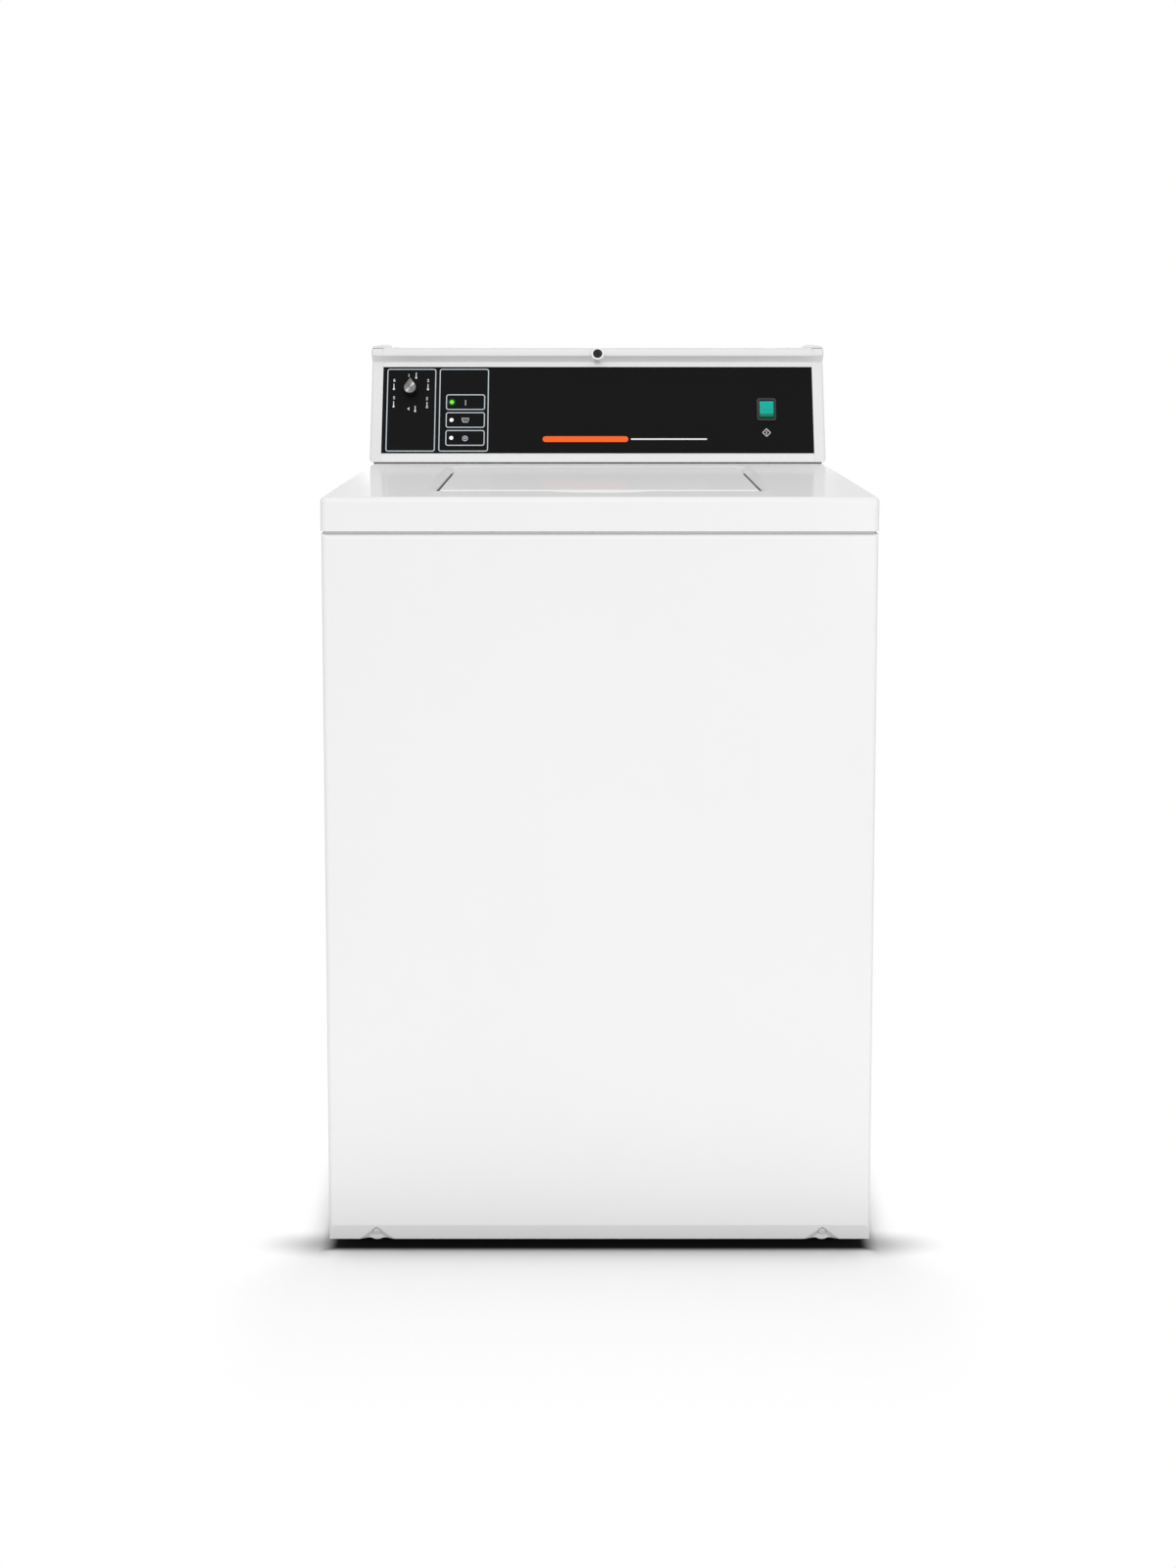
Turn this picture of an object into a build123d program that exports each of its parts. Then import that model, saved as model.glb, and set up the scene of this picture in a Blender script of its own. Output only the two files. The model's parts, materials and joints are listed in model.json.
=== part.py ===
from build123d import *
import math
import os

# Top load washing machine, in millimetres. The front faces -Y, Z is up, and the origin lies on the
# floor under the middle of the machine.

os.makedirs("parts", exist_ok=True)

# Overall sizes
width = 651.0
depth = 711.0
deck_height = 914.0
foot_height = 18.0
sheet = 1.0

# Clearances: between bodies that move, and round turning shafts
play = 0.5
shaft_fit = 0.05

# Cabinet
deck_overhang = 1.0
deck_skirt = 40.0
deck_return = 12.0
panel_joint = 3.0
front_panel_depth = 24.0
edge_radius = 6.0
corner_radius = 8.0
band_height = 19.2
band_inset = 5.0
wrap_flange = 18.0
rear_corner_radius = 15.0
wire_slot_width = 100.0
wire_slot_length = 30.0

# Screw recesses low on the front panel
recess_inset = 57.0
recess_half_width = 21.0
recess_height = 18.0
recess_depth = 3.6
recess_floor_share = 0.48
recess_open = 2.0
recess_lobe_radius = 11.4
recess_lobe_drop = 3.2
screw_rise = 10.5
screw_seat_radius = 5.8
screw_head_radius = 4.7
screw_head_height = 3.2
screw_shank_radius = 2.4
screw_shank_length = 12.0
screw_tab_width = 20.0

# Base and legs
base_height = 16.0
base_sheet = 1.6
base_opening_radius = 70.0
leg_inset_x = 45.0
leg_inset_y = 60.0
foot_pad_radius = 20.0
foot_pad_height = 12.0
foot_pad_top_radius = 16.0
leg_radius = 5.0
leg_length = 40.0
leg_nut_radius = 9.0
leg_nut_height = 8.0

# Lid and the well it lies in
lid_width = 389.0
lid_length = 369.0
lid_setback = 96.0
lid_height = 20.0
lid_corner = 8.0
lid_edge = 4.0
lid_gap = 5.0
lid_return = 16.0
well_slope_width = 12.5
well_slope_drop = 6.0
well_lip_radius = 4.0
well_depth = 30.0
ledge_width = 24.0
opening_corner = 40.0
neck_height = 16.0
scoop_half_width = 65.0
scoop_half_length = 34.0
scoop_floor = 0.62
scoop_depth = 8.0
hinge_setback = 14.0
hinge_drop = 9.0
hinge_pin_radius = 3.0
hinge_pin_length = 12.0
bushing_radius = 4.5
bushing_flange_radius = 5.5
bushing_flange = 2.5
bushing_length = 8.0
bumper_radius = 6.0
bumper_x = 150.0
bumper_taper = 6.0
lid_switch_length = 44.0
lid_switch_width = 18.0
lid_switch_height = 15.0
lid_switch_corner = 2.0

# Hood
hood_setback = 529.0
hood_lean = 20.0
gasket_height = 2.0
gasket_inset = 1.5
gasket_width = 10.0
cap_width = 16.5
cap_proud = 1.0
cap_wall = 3.0
face_height = 150.0
face_sheet = 1.5
overlay_bottom = 13.0
overlay_height = 129.5
overlay_sheet = 0.6
nose_reach = 14.4
nose_rise = 4.9
rail_top = 1078.0
cap_top = 1080.5
nose_radius = 9.0
cap_nose_radius = 11.0
rail_core = 8.0
rail_flange = 40.0
rail_sheet = 2.0
rear_cover_sheet = 1.2

# Hood controls, placed in from the ends of the face and up it
selector_inset = 40.6
selector_up = 106.0
selector_body_radius = 13.0
selector_body_depth = 22.0
selector_bush_radius = 4.5
selector_bush_proud = 3.0
selector_shaft_radius = 3.0
knob_radius = 8.9
knob_tip = 15.2
knob_depth = 16.0
knob_edge = 0.8
lamp_inset = 99.7
lamp_up = 62.6
lamp_spacing = 26.8
lamp_radius = 2.8
lamp_proud = 0.4
board_width = 190.0
board_height = 96.0
board_inset = 157.0
board_up = 64.0
board_sheet = 1.6
board_standoff = 11.0
standoff_radius = 4.0
standoff_inset = 8.0
start_inset = 66.9
start_up = 78.0
bezel_width = 28.0
bezel_height = 34.0
bezel_corner = 4.0
bezel_proud = 3.0
bezel_border = 3.5
switch_body_depth = 26.0
rocker_depth = 2.0
rocker_ridge = 6.5
rocker_ridge_drop = 7.0
rocker_heel = 2.5
rocker_toe = 1.5
rocker_base = 7.0
lock_up = 155.7
lock_proud = 8.0
lock_collar_radius = 9.2
lock_plug_radius = 6.6
lock_length = 44.0
lock_recess = 1.0
cam_length = 26.0
cam_width = 11.0
cam_sheet = 2.5
pressure_inset = 219.0
pressure_up = 70.0
pressure_radius = 32.0
pressure_depth = 18.0

# Rear service tray and water inlets
tray_inset = 34.5
tray_z = 765.0
tray_width = 260.0
tray_height = 110.0
tray_depth = 32.0
tray_flange = 12.0
cord_offset = 100.0
cold_offset = 45.0
hot_offset = -15.0
drain_offset = -85.0
inlet_radius = 13.2
inlet_bore = 8.0
inlet_boss = 16.0
inlet_recess = 5.0
spigot_radius = 14.5
spigot_bore = 11.5
cord_bush_radius = 10.0
cord_bore = 4.75
cord_flange = 13.0
cord_bush_length = 9.0
cord_flange_height = 3.0
valve_plate_height = 46.0
valve_plate_sheet = 4.0
valve_body_depth = 34.0
valve_body_height = 30.0
solenoid_radius = 14.0
solenoid_height = 42.0
valve_outlet_radius = 8.0
valve_outlet_height = 18.0
hose_wall = 2.5
hose_bend = 45.0
nozzle_x = -110.0
nozzle_radius = 10.5
nozzle_bore = 8.0
nozzle_z = 884.0
nozzle_rear = 262.0
nozzle_bend = 182.0
nozzle_tip = 158.0
nozzle_drop = 13.0
nozzle_bracket = 4.0
nozzle_bracket_length = 50.0

# Suspension: a spherical dome that slides on three pads
tub_y = -35.0
dome_radius = 320.0
dome_sheet = 3.0
dome_rim_radius = 195.0
dome_seat_height = 112.0
pedestal_ring_radius = 165.0
pedestal_angles = (90, 210, 330)
pedestal_radius = 38.0
pedestal_top_radius = 27.0
pad_radius = 22.0
pad_sheet = 5.0
hub_radius = 42.0
hub_bottom_height = 138.0
hub_top_height = 180.0
strut_width = 44.0
strut_sheet = 5.0
strut_foot_radius = 168.0
strut_head_radius = 236.0
strut_land = 30.0
spring_angle = 17.0
spring_inner = 189.0
spring_outer = 292.0
spring_outer_height = 42.0
spring_radius = 8.0
spring_wire = 2.0
spring_lift = 2.7
spring_coils = 7
spring_post_radius = 4.0

# Tub and basket
tub_radius = 284.0
tub_wall = 3.0
tub_drop = 26.0
tub_depth = 470.0
tub_rim = 5.0
tub_centre_hole = 60.0
sump_x = -120.0
sump_y = -240.0
sump_spigot = 14.0
sump_length = 26.0
cover_inner = 216.0
cover_sheet = 3.0
cover_lip = 14.0
cover_skirt = 16.0
basket_radius = 258.0
basket_wall = 1.5
basket_lift = 40.0
basket_drop = 6.0
basket_corner = 24.0
ring_inner = 226.0
ring_height = 38.0
ring_edge = 8.0
hub_flange_radius = 74.0
hub_flange = 8.0
hub_boss_radius = 38.0
hub_boss_height = 28.0
hub_boss_drop = 15.0
housing_flange_radius = 95.0
housing_flange = 7.0
housing_radius = 48.0
housing_drop = 54.0
housing_boss_radius = 40.0
housing_boss_height = 12.0
bearing_height = 16.0
upper_bearing_radius = 31.0
upper_bearing_rise = 8.0
tube_radius = 20.0
case_radius = 78.0
case_gap = 18.0
case_height = 100.0
case_flange_radius = 92.0
case_flange = 8.0
case_shoulder = 16.0
input_radius = 14.0
lower_bearing_radius = 26.0
agitator_shaft_radius = 8.0
agitator_shaft_drop = 60.0
skirt_radius = 200.0
skirt_lift = 16.0
skirt_height = 148.0
column_radius = 48.0
column_top_radius = 39.0
column_height = 348.0
agitator_wall = 4.0
socket_height = 60.0
vane_count = 4
vane_thickness = 9.0
vane_twist = 16.0
vane_middle_reach = 144.0
vane_upper_reach = 92.0
skirt_slope = 0.15
column_slope = 0.05
cap_height = 26.0
cap_plug = 12.0
cap_crown_radius = 27.0
cap_edge = 8.6

# Drive: motor, pump and their belts
pulley_height = 25.0
pulley_bottom = 64.0
drive_pulley_radius = 100.0
pulley_web = 6.0
pulley_rim = 12.0
groove_depth = 8.0
belt_thickness = 8.0
belt_width = 10.0
motor_x = 40.0
motor_y = -264.0
motor_radius = 62.0
motor_height = 128.0
motor_end_radius = 50.0
motor_end = 18.0
motor_shaft_radius = 7.0
motor_pulley_radius = 25.0
pump_groove_radius = 22.0
pump_pulley_bottom = 40.0
pump_pulley_height = 18.0
pump_x = sump_x
pump_y = sump_y
pump_pulley_radius = 29.0
pump_shaft_radius = 5.0
pump_radius = 46.0
pump_wall = 3.5
pump_height = 40.0
impeller_radius = 36.0
impeller_height = 14.0
pump_inlet_height = 22.0
pump_outlet_length = 26.0
plate_top = 150.0
plate_sheet = 4.0
plate_left = -185.0
plate_right = 118.0
plate_front = -330.0
plate_rear = -172.0
plate_corner = 14.0
plate_foot_width = 90.0
plate_foot_length = 46.0

# Lines and levels that follow from the sizes above
front = -depth / 2
back = depth / 2
cabinet_width = width - 2 * deck_overhang
recess_x = cabinet_width / 2 - recess_inset
tray_x = -cabinet_width / 2 + tray_inset + tray_width / 2
cord_x = tray_x + cord_offset
cold_x = tray_x + cold_offset
hot_x = tray_x + hot_offset
drain_x = tray_x + drain_offset
deck_under = deck_height - sheet
skirt_bottom = deck_height - deck_skirt
front_panel_top = skirt_bottom - panel_joint
wrap_front = front + front_panel_depth
wrap_y = (wrap_front + back) / 2
wrap_depth = back - wrap_front
base_width = cabinet_width - 2 * sheet
base_front = wrap_front + sheet
base_back = back - sheet
base_y = (base_front + base_back) / 2
base_depth = base_back - base_front
base_top = foot_height + base_height
base_under = base_top - base_sheet
lid_front = front + lid_setback
lid_y = lid_front + lid_length / 2
lid_rear = lid_front + lid_length
lid_bottom = deck_height - lid_height
well_width = lid_width + 2 * lid_gap
well_length = lid_length + 2 * lid_gap
well_corner = lid_corner + lid_gap
ledge_top = deck_height - well_depth
ledge_under = ledge_top - sheet
opening_width = well_width - 2 * ledge_width
opening_length = well_length - 2 * ledge_width
neck_bottom = ledge_top - neck_height
tub_top = neck_bottom - tub_drop
tub_bottom = tub_top - tub_depth
basket_floor = tub_bottom + basket_lift
basket_top = tub_top - basket_drop
hub_boss_top = basket_floor + hub_boss_height
hub_boss_bottom = basket_floor - hub_boss_drop
housing_bottom = tub_bottom - housing_drop
housing_boss_top = tub_bottom + housing_boss_height
case_top = housing_bottom - case_gap
case_bottom = case_top - case_height
skirt_top = basket_floor + skirt_height
column_top = basket_floor + column_height
agitator_shaft_top = column_top - agitator_shaft_drop
hinge_y = lid_rear - hinge_setback
hinge_z = deck_height - hinge_drop
hood_front = front + hood_setback
hood_base = deck_height + gasket_height
hood_span = width - 2 * cap_width
lean = math.radians(hood_lean)
selector_across = -hood_span / 2 + selector_inset
lamp_across = -hood_span / 2 + lamp_inset
board_across = -hood_span / 2 + board_inset
start_across = hood_span / 2 - start_inset
pressure_across = hood_span / 2 - pressure_inset
tray_floor = back - tray_depth
tray_inside = tray_floor - sheet
tub_axis = Axis((0, tub_y, 0), (0, 0, 1))
tub_plane = Plane.XZ.offset(-tub_y)
tub_inner = tub_radius - tub_wall
dome_outer = dome_radius + dome_sheet
dome_centre = dome_seat_height - math.sqrt(dome_radius**2 - pedestal_ring_radius**2)
pad_rise = math.sqrt(dome_radius**2 - (pedestal_ring_radius + pad_radius) ** 2)
pedestal_top = dome_centre + pad_rise - pad_sheet
plate_under = plate_top - plate_sheet
spring_inner_height = dome_centre + math.sqrt(dome_outer**2 - spring_inner**2) + spring_lift
skirt_bottom_z = basket_floor + skirt_lift
belt_lift = (pulley_height - belt_width) / 2
pump_belt_lift = (pump_pulley_height - belt_width) / 2


def face_point(up, out):
    """The Y and Z of a point up the hood face and out from it."""
    y = hood_front + up * math.sin(lean) - out * math.cos(lean)
    z = hood_base + up * math.cos(lean) + out * math.sin(lean)
    return (y, z)


def face_plane(across=0.0, up=0.0, out=0.0):
    """The hood face, with its origin moved across, up and out."""
    y, z = face_point(up, out)
    return Plane(origin=(across, y, z), x_dir=(1, 0, 0), z_dir=(0, -math.cos(lean), math.sin(lean)))


def straight_outline(*points):
    """A face in the open sketch, bounded by straight runs through the points."""
    with BuildLine() as outline:
        Polyline(*points, close=True)
    make_face(outline.edges())


def band_plane(x):
    """The slanted band at the foot of the front panel, with its origin on the lower edge."""
    slope = math.hypot(band_height, band_inset)
    normal = (0, -band_height / slope, -band_inset / slope)
    return Plane(origin=(x, front + band_inset, foot_height), x_dir=(1, 0, 0), z_dir=normal)


def front_block(inset):
    """The front panel's outline, drawn in by inset on every side but the back."""
    half = cabinet_width / 2 - inset
    with BuildPart() as block:
        with BuildSketch(Plane.YZ.offset(-half)):
            straight_outline(
                (wrap_front, foot_height + inset),
                (front + band_inset + inset, foot_height + inset),
                (front + inset, foot_height + band_height),
                (front + inset, front_panel_top - inset),
                (wrap_front, front_panel_top - inset),
            )
        extrude(amount=2 * half)
        upright = block.edges().filter_by(Axis.Z).group_by(Axis.Y)[0]
        brow = block.edges().filter_by(Axis.X).group_by(Axis.Z)[-1].sort_by(Axis.Y)[0]
        fillet([*upright, brow], edge_radius - inset)
    return block.part


def recess_block(x, grow):
    """A V-shaped screw recess, open below, with sloped flanks and a round screw seat, grown by grow."""
    run = recess_half_width / recess_height
    slant = math.hypot(1, run)
    flank = recess_height * (1 - recess_floor_share) / slant
    flank_slant = math.hypot(flank, recess_depth) / recess_depth
    low = -recess_open - grow
    with BuildPart() as block:
        for level, share, wall in (
            (0, 1.0, grow * flank_slant),
            (-recess_depth - grow, recess_floor_share, grow * recess_floor_share),
        ):
            half = recess_half_width * share - low * run + wall * slant
            with BuildSketch(band_plane(x).offset(level)):
                straight_outline((-half, low), (half, low), (0, low + half / run))
        loft()
        with BuildSketch(band_plane(x)):
            with Locations((0, screw_rise)):
                Circle(screw_seat_radius + grow)
        extrude(amount=-recess_depth - grow)
    return block.part


def deck_block(inset):
    """The deck's outer shape, drawn in by inset on every side."""
    with BuildPart() as block:
        with BuildSketch(Plane.XY.offset(skirt_bottom + inset)):
            RectangleRounded(width - 2 * inset, depth - 2 * inset, corner_radius - inset)
        extrude(amount=deck_skirt - 2 * inset)
        fillet(block.edges().group_by(Axis.Z)[-1], edge_radius - inset)
    return block.part


def well_block(grow):
    """The sunken well round the lid, grown outward by grow."""
    rim_width = well_width + 2 * (well_slope_width + grow)
    rim_length = well_length + 2 * (well_slope_width + grow)
    with BuildPart() as block:
        with BuildSketch(Plane.XY.offset(deck_height)):
            with Locations((0, lid_y)):
                RectangleRounded(rim_width, rim_length, well_corner + well_slope_width + grow)
        with BuildSketch(Plane.XY.offset(deck_height - well_slope_drop)):
            with Locations((0, lid_y)):
                RectangleRounded(well_width + 2 * grow, well_length + 2 * grow, well_corner + grow)
        loft(ruled=True)
        with BuildSketch(Plane.XY.offset(deck_height - well_slope_drop)):
            with Locations((0, lid_y)):
                RectangleRounded(well_width + 2 * grow, well_length + 2 * grow, well_corner + grow)
        extrude(amount=-(well_depth - well_slope_drop + grow))
        lip = block.edges().filter_by_position(
            Axis.Z, deck_height - well_slope_drop, deck_height - well_slope_drop
        )
        fillet(lip, well_lip_radius - grow)
    return block.part


def scoop_block(grow):
    """The finger scoop in front of the lid, grown outward by grow."""
    with BuildPart() as block:
        with BuildSketch(Plane.XY.offset(deck_height)):
            with Locations((0, lid_front - lid_gap)):
                Ellipse(scoop_half_width + grow, scoop_half_length + grow)
        with BuildSketch(Plane.XY.offset(deck_height - scoop_depth - grow)):
            with Locations((0, lid_front - lid_gap)):
                Ellipse(scoop_half_width * scoop_floor + grow, scoop_half_length * scoop_floor + grow)
        loft()
    return block.part


def lid_block(inset):
    """The lid's outer shape, drawn in by inset on every side but the bottom."""
    with BuildPart() as block:
        with BuildSketch(Plane.XY.offset(lid_bottom)):
            with Locations((0, lid_y)):
                RectangleRounded(lid_width - 2 * inset, lid_length - 2 * inset, lid_corner - inset)
        extrude(amount=lid_height - inset)
        fillet(block.edges().group_by(Axis.Z)[-1], lid_edge - inset)
    return block.part


def belt_loop(bottom, first, first_radius, second, second_radius, thickness):
    """A flat belt round two pulleys, with its inner face on the two radii."""
    with BuildPart() as loop:
        with BuildSketch(Plane.XY.offset(bottom)):
            with BuildLine() as outside:
                CenterArc(first, first_radius + thickness, 0, 360)
                CenterArc(second, second_radius + thickness, 0, 360)
            make_hull(outside.edges())
            with BuildLine() as inside:
                CenterArc(first, first_radius, 0, 360)
                CenterArc(second, second_radius, 0, 360)
            make_hull(inside.edges(), mode=Mode.SUBTRACT)
        extrude(amount=belt_width)
    return loop.part


# Base pan with three pedestals and two screw tabs
with BuildPart() as base_pan:
    with BuildSketch(Plane.XY.offset(foot_height)):
        with Locations((0, base_y)):
            RectangleRounded(base_width, base_depth, rear_corner_radius)
    extrude(amount=base_height)
    offset(amount=-base_sheet, openings=base_pan.faces().sort_by(Axis.Z)[0])
    with Locations((0, tub_y, base_top)):
        with PolarLocations(pedestal_ring_radius, 3, start_angle=90):
            Cone(
                pedestal_radius,
                pedestal_top_radius,
                pedestal_top - base_top,
                align=(Align.CENTER, Align.CENTER, Align.MIN),
            )
    with Locations((0, tub_y, base_under)):
        with PolarLocations(pedestal_ring_radius, 3, start_angle=90):
            Cone(
                pedestal_radius - base_sheet,
                pedestal_top_radius - base_sheet,
                pedestal_top - base_top,
                align=(Align.CENTER, Align.CENTER, Align.MIN),
                mode=Mode.SUBTRACT,
            )
    with Locations((0, tub_y, base_top)):
        Cylinder(base_opening_radius, 4 * base_sheet, mode=Mode.SUBTRACT)
    with Locations((0, base_y, base_top)):
        with GridLocations(base_width - 2 * leg_inset_x, base_depth - 2 * leg_inset_y, 2, 2):
            Cylinder(leg_radius, 4 * base_sheet, mode=Mode.SUBTRACT)
    with Locations((0, tub_y, base_top)):
        for corner in pedestal_angles:
            with PolarLocations(spring_outer, 2, corner - spring_angle, 2 * spring_angle, endpoint=True):
                Cylinder(
                    spring_post_radius,
                    spring_outer_height - spring_wire - base_top,
                    align=(Align.CENTER, Align.CENTER, Align.MIN),
                )
    for side in (-1, 1):
        tab_front = front + band_inset + recess_depth + sheet
        with BuildSketch(band_plane(side * recess_x).offset(-recess_depth - sheet)):
            with Locations((0, recess_height / 2)):
                Rectangle(screw_tab_width, recess_height)
        extrude(amount=-base_sheet)
        with BuildSketch(Plane.XY.offset(foot_height + sheet)):
            with Locations((side * recess_x, (tab_front + base_front) / 2)):
                Rectangle(screw_tab_width, base_front - tab_front)
        extrude(amount=base_sheet)
        with BuildSketch(band_plane(side * recess_x).offset(-recess_depth)):
            with Locations((0, screw_rise)):
                Circle(screw_shank_radius)
        extrude(amount=-screw_shank_length, mode=Mode.SUBTRACT)
base_pan.part.label = "base_pan"
export_step(base_pan.part, "parts/base_pan.step")

# Levelling legs with their hexagons, and the rubber pads under them
with BuildPart() as leveling_legs:
    with Locations((0, base_y, foot_pad_height)):
        with GridLocations(base_width - 2 * leg_inset_x, base_depth - 2 * leg_inset_y, 2, 2):
            Cylinder(leg_radius, leg_length, align=(Align.CENTER, Align.CENTER, Align.MIN))
    with BuildSketch(Plane.XY.offset(base_under)):
        with Locations((0, base_y)):
            with GridLocations(base_width - 2 * leg_inset_x, base_depth - 2 * leg_inset_y, 2, 2):
                RegularPolygon(leg_nut_radius, 6)
    extrude(amount=-leg_nut_height)
leveling_legs.part.label = "leveling_legs"
export_step(leveling_legs.part, "parts/leveling_legs.step")

with BuildPart() as foot_pads:
    with Locations((0, base_y, 0)):
        with GridLocations(base_width - 2 * leg_inset_x, base_depth - 2 * leg_inset_y, 2, 2):
            Cone(
                foot_pad_radius,
                foot_pad_top_radius,
                foot_pad_height,
                align=(Align.CENTER, Align.CENTER, Align.MIN),
            )
foot_pads.part.label = "foot_pads"
export_step(foot_pads.part, "parts/foot_pads.step")

# Friction pads, crowned to the dome's sphere
with BuildPart() as friction_pads:
    with Locations((0, tub_y, pedestal_top)):
        with PolarLocations(pedestal_ring_radius, 3, start_angle=90):
            Cylinder(pad_radius, pedestal_radius, align=(Align.CENTER, Align.CENTER, Align.MIN))
    with Locations((0, tub_y, dome_centre)):
        Sphere(dome_radius - play, mode=Mode.INTERSECT)
friction_pads.part.label = "friction_pads"
export_step(friction_pads.part, "parts/friction_pads.step")

# Cabinet wrap: two sides and the back in one bent sheet
with BuildPart() as cabinet_wrap:
    with BuildSketch(Plane.XY.offset(foot_height)) as wrap_sketch:
        with Locations((0, wrap_y)):
            Rectangle(cabinet_width, wrap_depth)
        fillet(wrap_sketch.vertices().group_by(Axis.Y)[-1], rear_corner_radius)
        offset(amount=-sheet, mode=Mode.SUBTRACT)
        with Locations((0, wrap_front)):
            Rectangle(cabinet_width - 2 * wrap_flange, 4 * sheet, mode=Mode.SUBTRACT)
    extrude(amount=skirt_bottom - foot_height)
    with BuildSketch(Plane.XY.offset(skirt_bottom)) as flange_sketch:
        with Locations((0, wrap_y)):
            Rectangle(cabinet_width, wrap_depth)
        fillet(flange_sketch.vertices().group_by(Axis.Y)[-1], rear_corner_radius)
        with Locations((0, wrap_y)):
            Rectangle(cabinet_width - 2 * wrap_flange, wrap_depth - 2 * wrap_flange, mode=Mode.SUBTRACT)
        with Locations((0, wrap_front)):
            Rectangle(cabinet_width - 2 * wrap_flange, 4 * wrap_flange, mode=Mode.SUBTRACT)
    extrude(amount=-sheet)
    with BuildSketch(Plane.XZ.offset(-back)):
        with Locations((tray_x, tray_z)):
            Rectangle(tray_width - 2 * sheet, tray_height - 2 * sheet)
    extrude(amount=2 * sheet, mode=Mode.SUBTRACT)
cabinet_wrap.part.label = "cabinet_wrap"
export_step(cabinet_wrap.part, "parts/cabinet_wrap.step")

# Front panel: a shallow pan with a slanted band and two screw recesses
with BuildPart() as front_cavity:
    add(front_block(sheet))
    with BuildSketch(Plane.XZ.offset(-wrap_front)):
        with Locations((0, (foot_height + front_panel_top) / 2)):
            Rectangle(cabinet_width - 2 * sheet, front_panel_top - foot_height - 2 * sheet)
    extrude(amount=sheet, both=True)
    for side in (-1, 1):
        add(recess_block(side * recess_x, sheet), mode=Mode.SUBTRACT)

with BuildPart() as front_panel:
    add(front_block(0))
    add(front_cavity.part, mode=Mode.SUBTRACT)
    for side in (-1, 1):
        add(recess_block(side * recess_x, 0), mode=Mode.SUBTRACT)
        with BuildSketch(band_plane(side * recess_x).offset(-recess_depth)):
            with Locations((0, recess_lobe_radius - recess_lobe_drop)):
                Circle(recess_lobe_radius)
            with Locations((0, recess_lobe_radius)):
                Rectangle(2 * recess_lobe_radius, 2 * recess_lobe_radius, mode=Mode.SUBTRACT)
        extrude(amount=-sheet)
        with BuildSketch(band_plane(side * recess_x)):
            with Locations((0, screw_rise)):
                Circle(screw_shank_radius)
        extrude(amount=-2 * recess_depth, mode=Mode.SUBTRACT)
front_panel.part.label = "front_panel"
export_step(front_panel.part, "parts/front_panel.step")

with BuildPart() as front_panel_screws:
    for side in (-1, 1):
        with BuildSketch(band_plane(side * recess_x).offset(-recess_depth)):
            with Locations((0, screw_rise)):
                RegularPolygon(screw_head_radius, 6)
        extrude(amount=screw_head_height)
        with BuildSketch(band_plane(side * recess_x).offset(-recess_depth)):
            with Locations((0, screw_rise)):
                Circle(screw_shank_radius)
        extrude(amount=-screw_shank_length)
front_panel_screws.part.label = "front_panel_screws"
export_step(front_panel_screws.part, "parts/front_panel_screws.step")

# Cabinet top with the lid well, the load opening and the finger scoop
with BuildPart() as cabinet_top:
    add(deck_block(0))
    add(deck_block(sheet), mode=Mode.SUBTRACT)
    with BuildSketch(Plane.XY.offset(skirt_bottom)):
        Rectangle(width - 2 * deck_return, depth - 2 * deck_return)
    extrude(amount=2 * sheet, mode=Mode.SUBTRACT)
    add(well_block(sheet))
    add(scoop_block(sheet))
    with BuildSketch(Plane.XY.offset(ledge_top)):
        with Locations((0, lid_y)):
            RectangleRounded(opening_width + 2 * sheet, opening_length + 2 * sheet, opening_corner + sheet)
    extrude(amount=-neck_height)
    add(well_block(0), mode=Mode.SUBTRACT)
    add(scoop_block(0), mode=Mode.SUBTRACT)
    with BuildSketch(Plane.XY.offset(deck_height)):
        with Locations((0, lid_y)):
            RectangleRounded(opening_width, opening_length, opening_corner)
    extrude(amount=-well_depth - neck_height, mode=Mode.SUBTRACT)
    with BuildSketch(Plane.XY.offset(deck_height)):
        with Locations((0, (hood_front + back) / 2)):
            Rectangle(wire_slot_width, wire_slot_length)
    extrude(amount=-2 * sheet, mode=Mode.SUBTRACT)
    with BuildSketch(Plane.YZ.offset(-well_width / 2 - bushing_length)):
        with Locations((hinge_y, hinge_z)):
            Circle(bushing_radius)
    extrude(amount=well_width + 2 * bushing_length, mode=Mode.SUBTRACT)
cabinet_top.part.label = "cabinet_top"
export_step(cabinet_top.part, "parts/cabinet_top.step")

# Lid: a pan with a rounded edge and a return along the front
with BuildPart() as lid:
    add(lid_block(0))
    add(lid_block(sheet), mode=Mode.SUBTRACT)
    with BuildSketch(Plane.XY.offset(lid_bottom)):
        with Locations((0, lid_front + lid_return / 2)):
            Rectangle(lid_width - 2 * lid_corner, lid_return)
    extrude(amount=sheet)
    with BuildSketch(Plane.YZ.offset(-lid_width)):
        with Locations((hinge_y, hinge_z)):
            Circle(hinge_pin_radius)
    extrude(amount=2 * lid_width, mode=Mode.SUBTRACT)
lid.part.label = "lid"
export_step(lid.part, "parts/lid.step")

with BuildPart() as lid_hinge_pins:
    for side in (-1, 1):
        with BuildSketch(Plane.YZ.offset(side * (lid_width / 2 - sheet))):
            with Locations((hinge_y, hinge_z)):
                Circle(hinge_pin_radius)
        extrude(amount=side * hinge_pin_length)
        with BuildSketch(Plane.YZ.offset(side * (lid_width / 2 - sheet))):
            with Locations((hinge_y, hinge_z)):
                Circle(bushing_radius)
        extrude(amount=-side * bushing_flange)
lid_hinge_pins.part.label = "lid_hinge_pins"
export_step(lid_hinge_pins.part, "parts/lid_hinge_pins.step")

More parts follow.
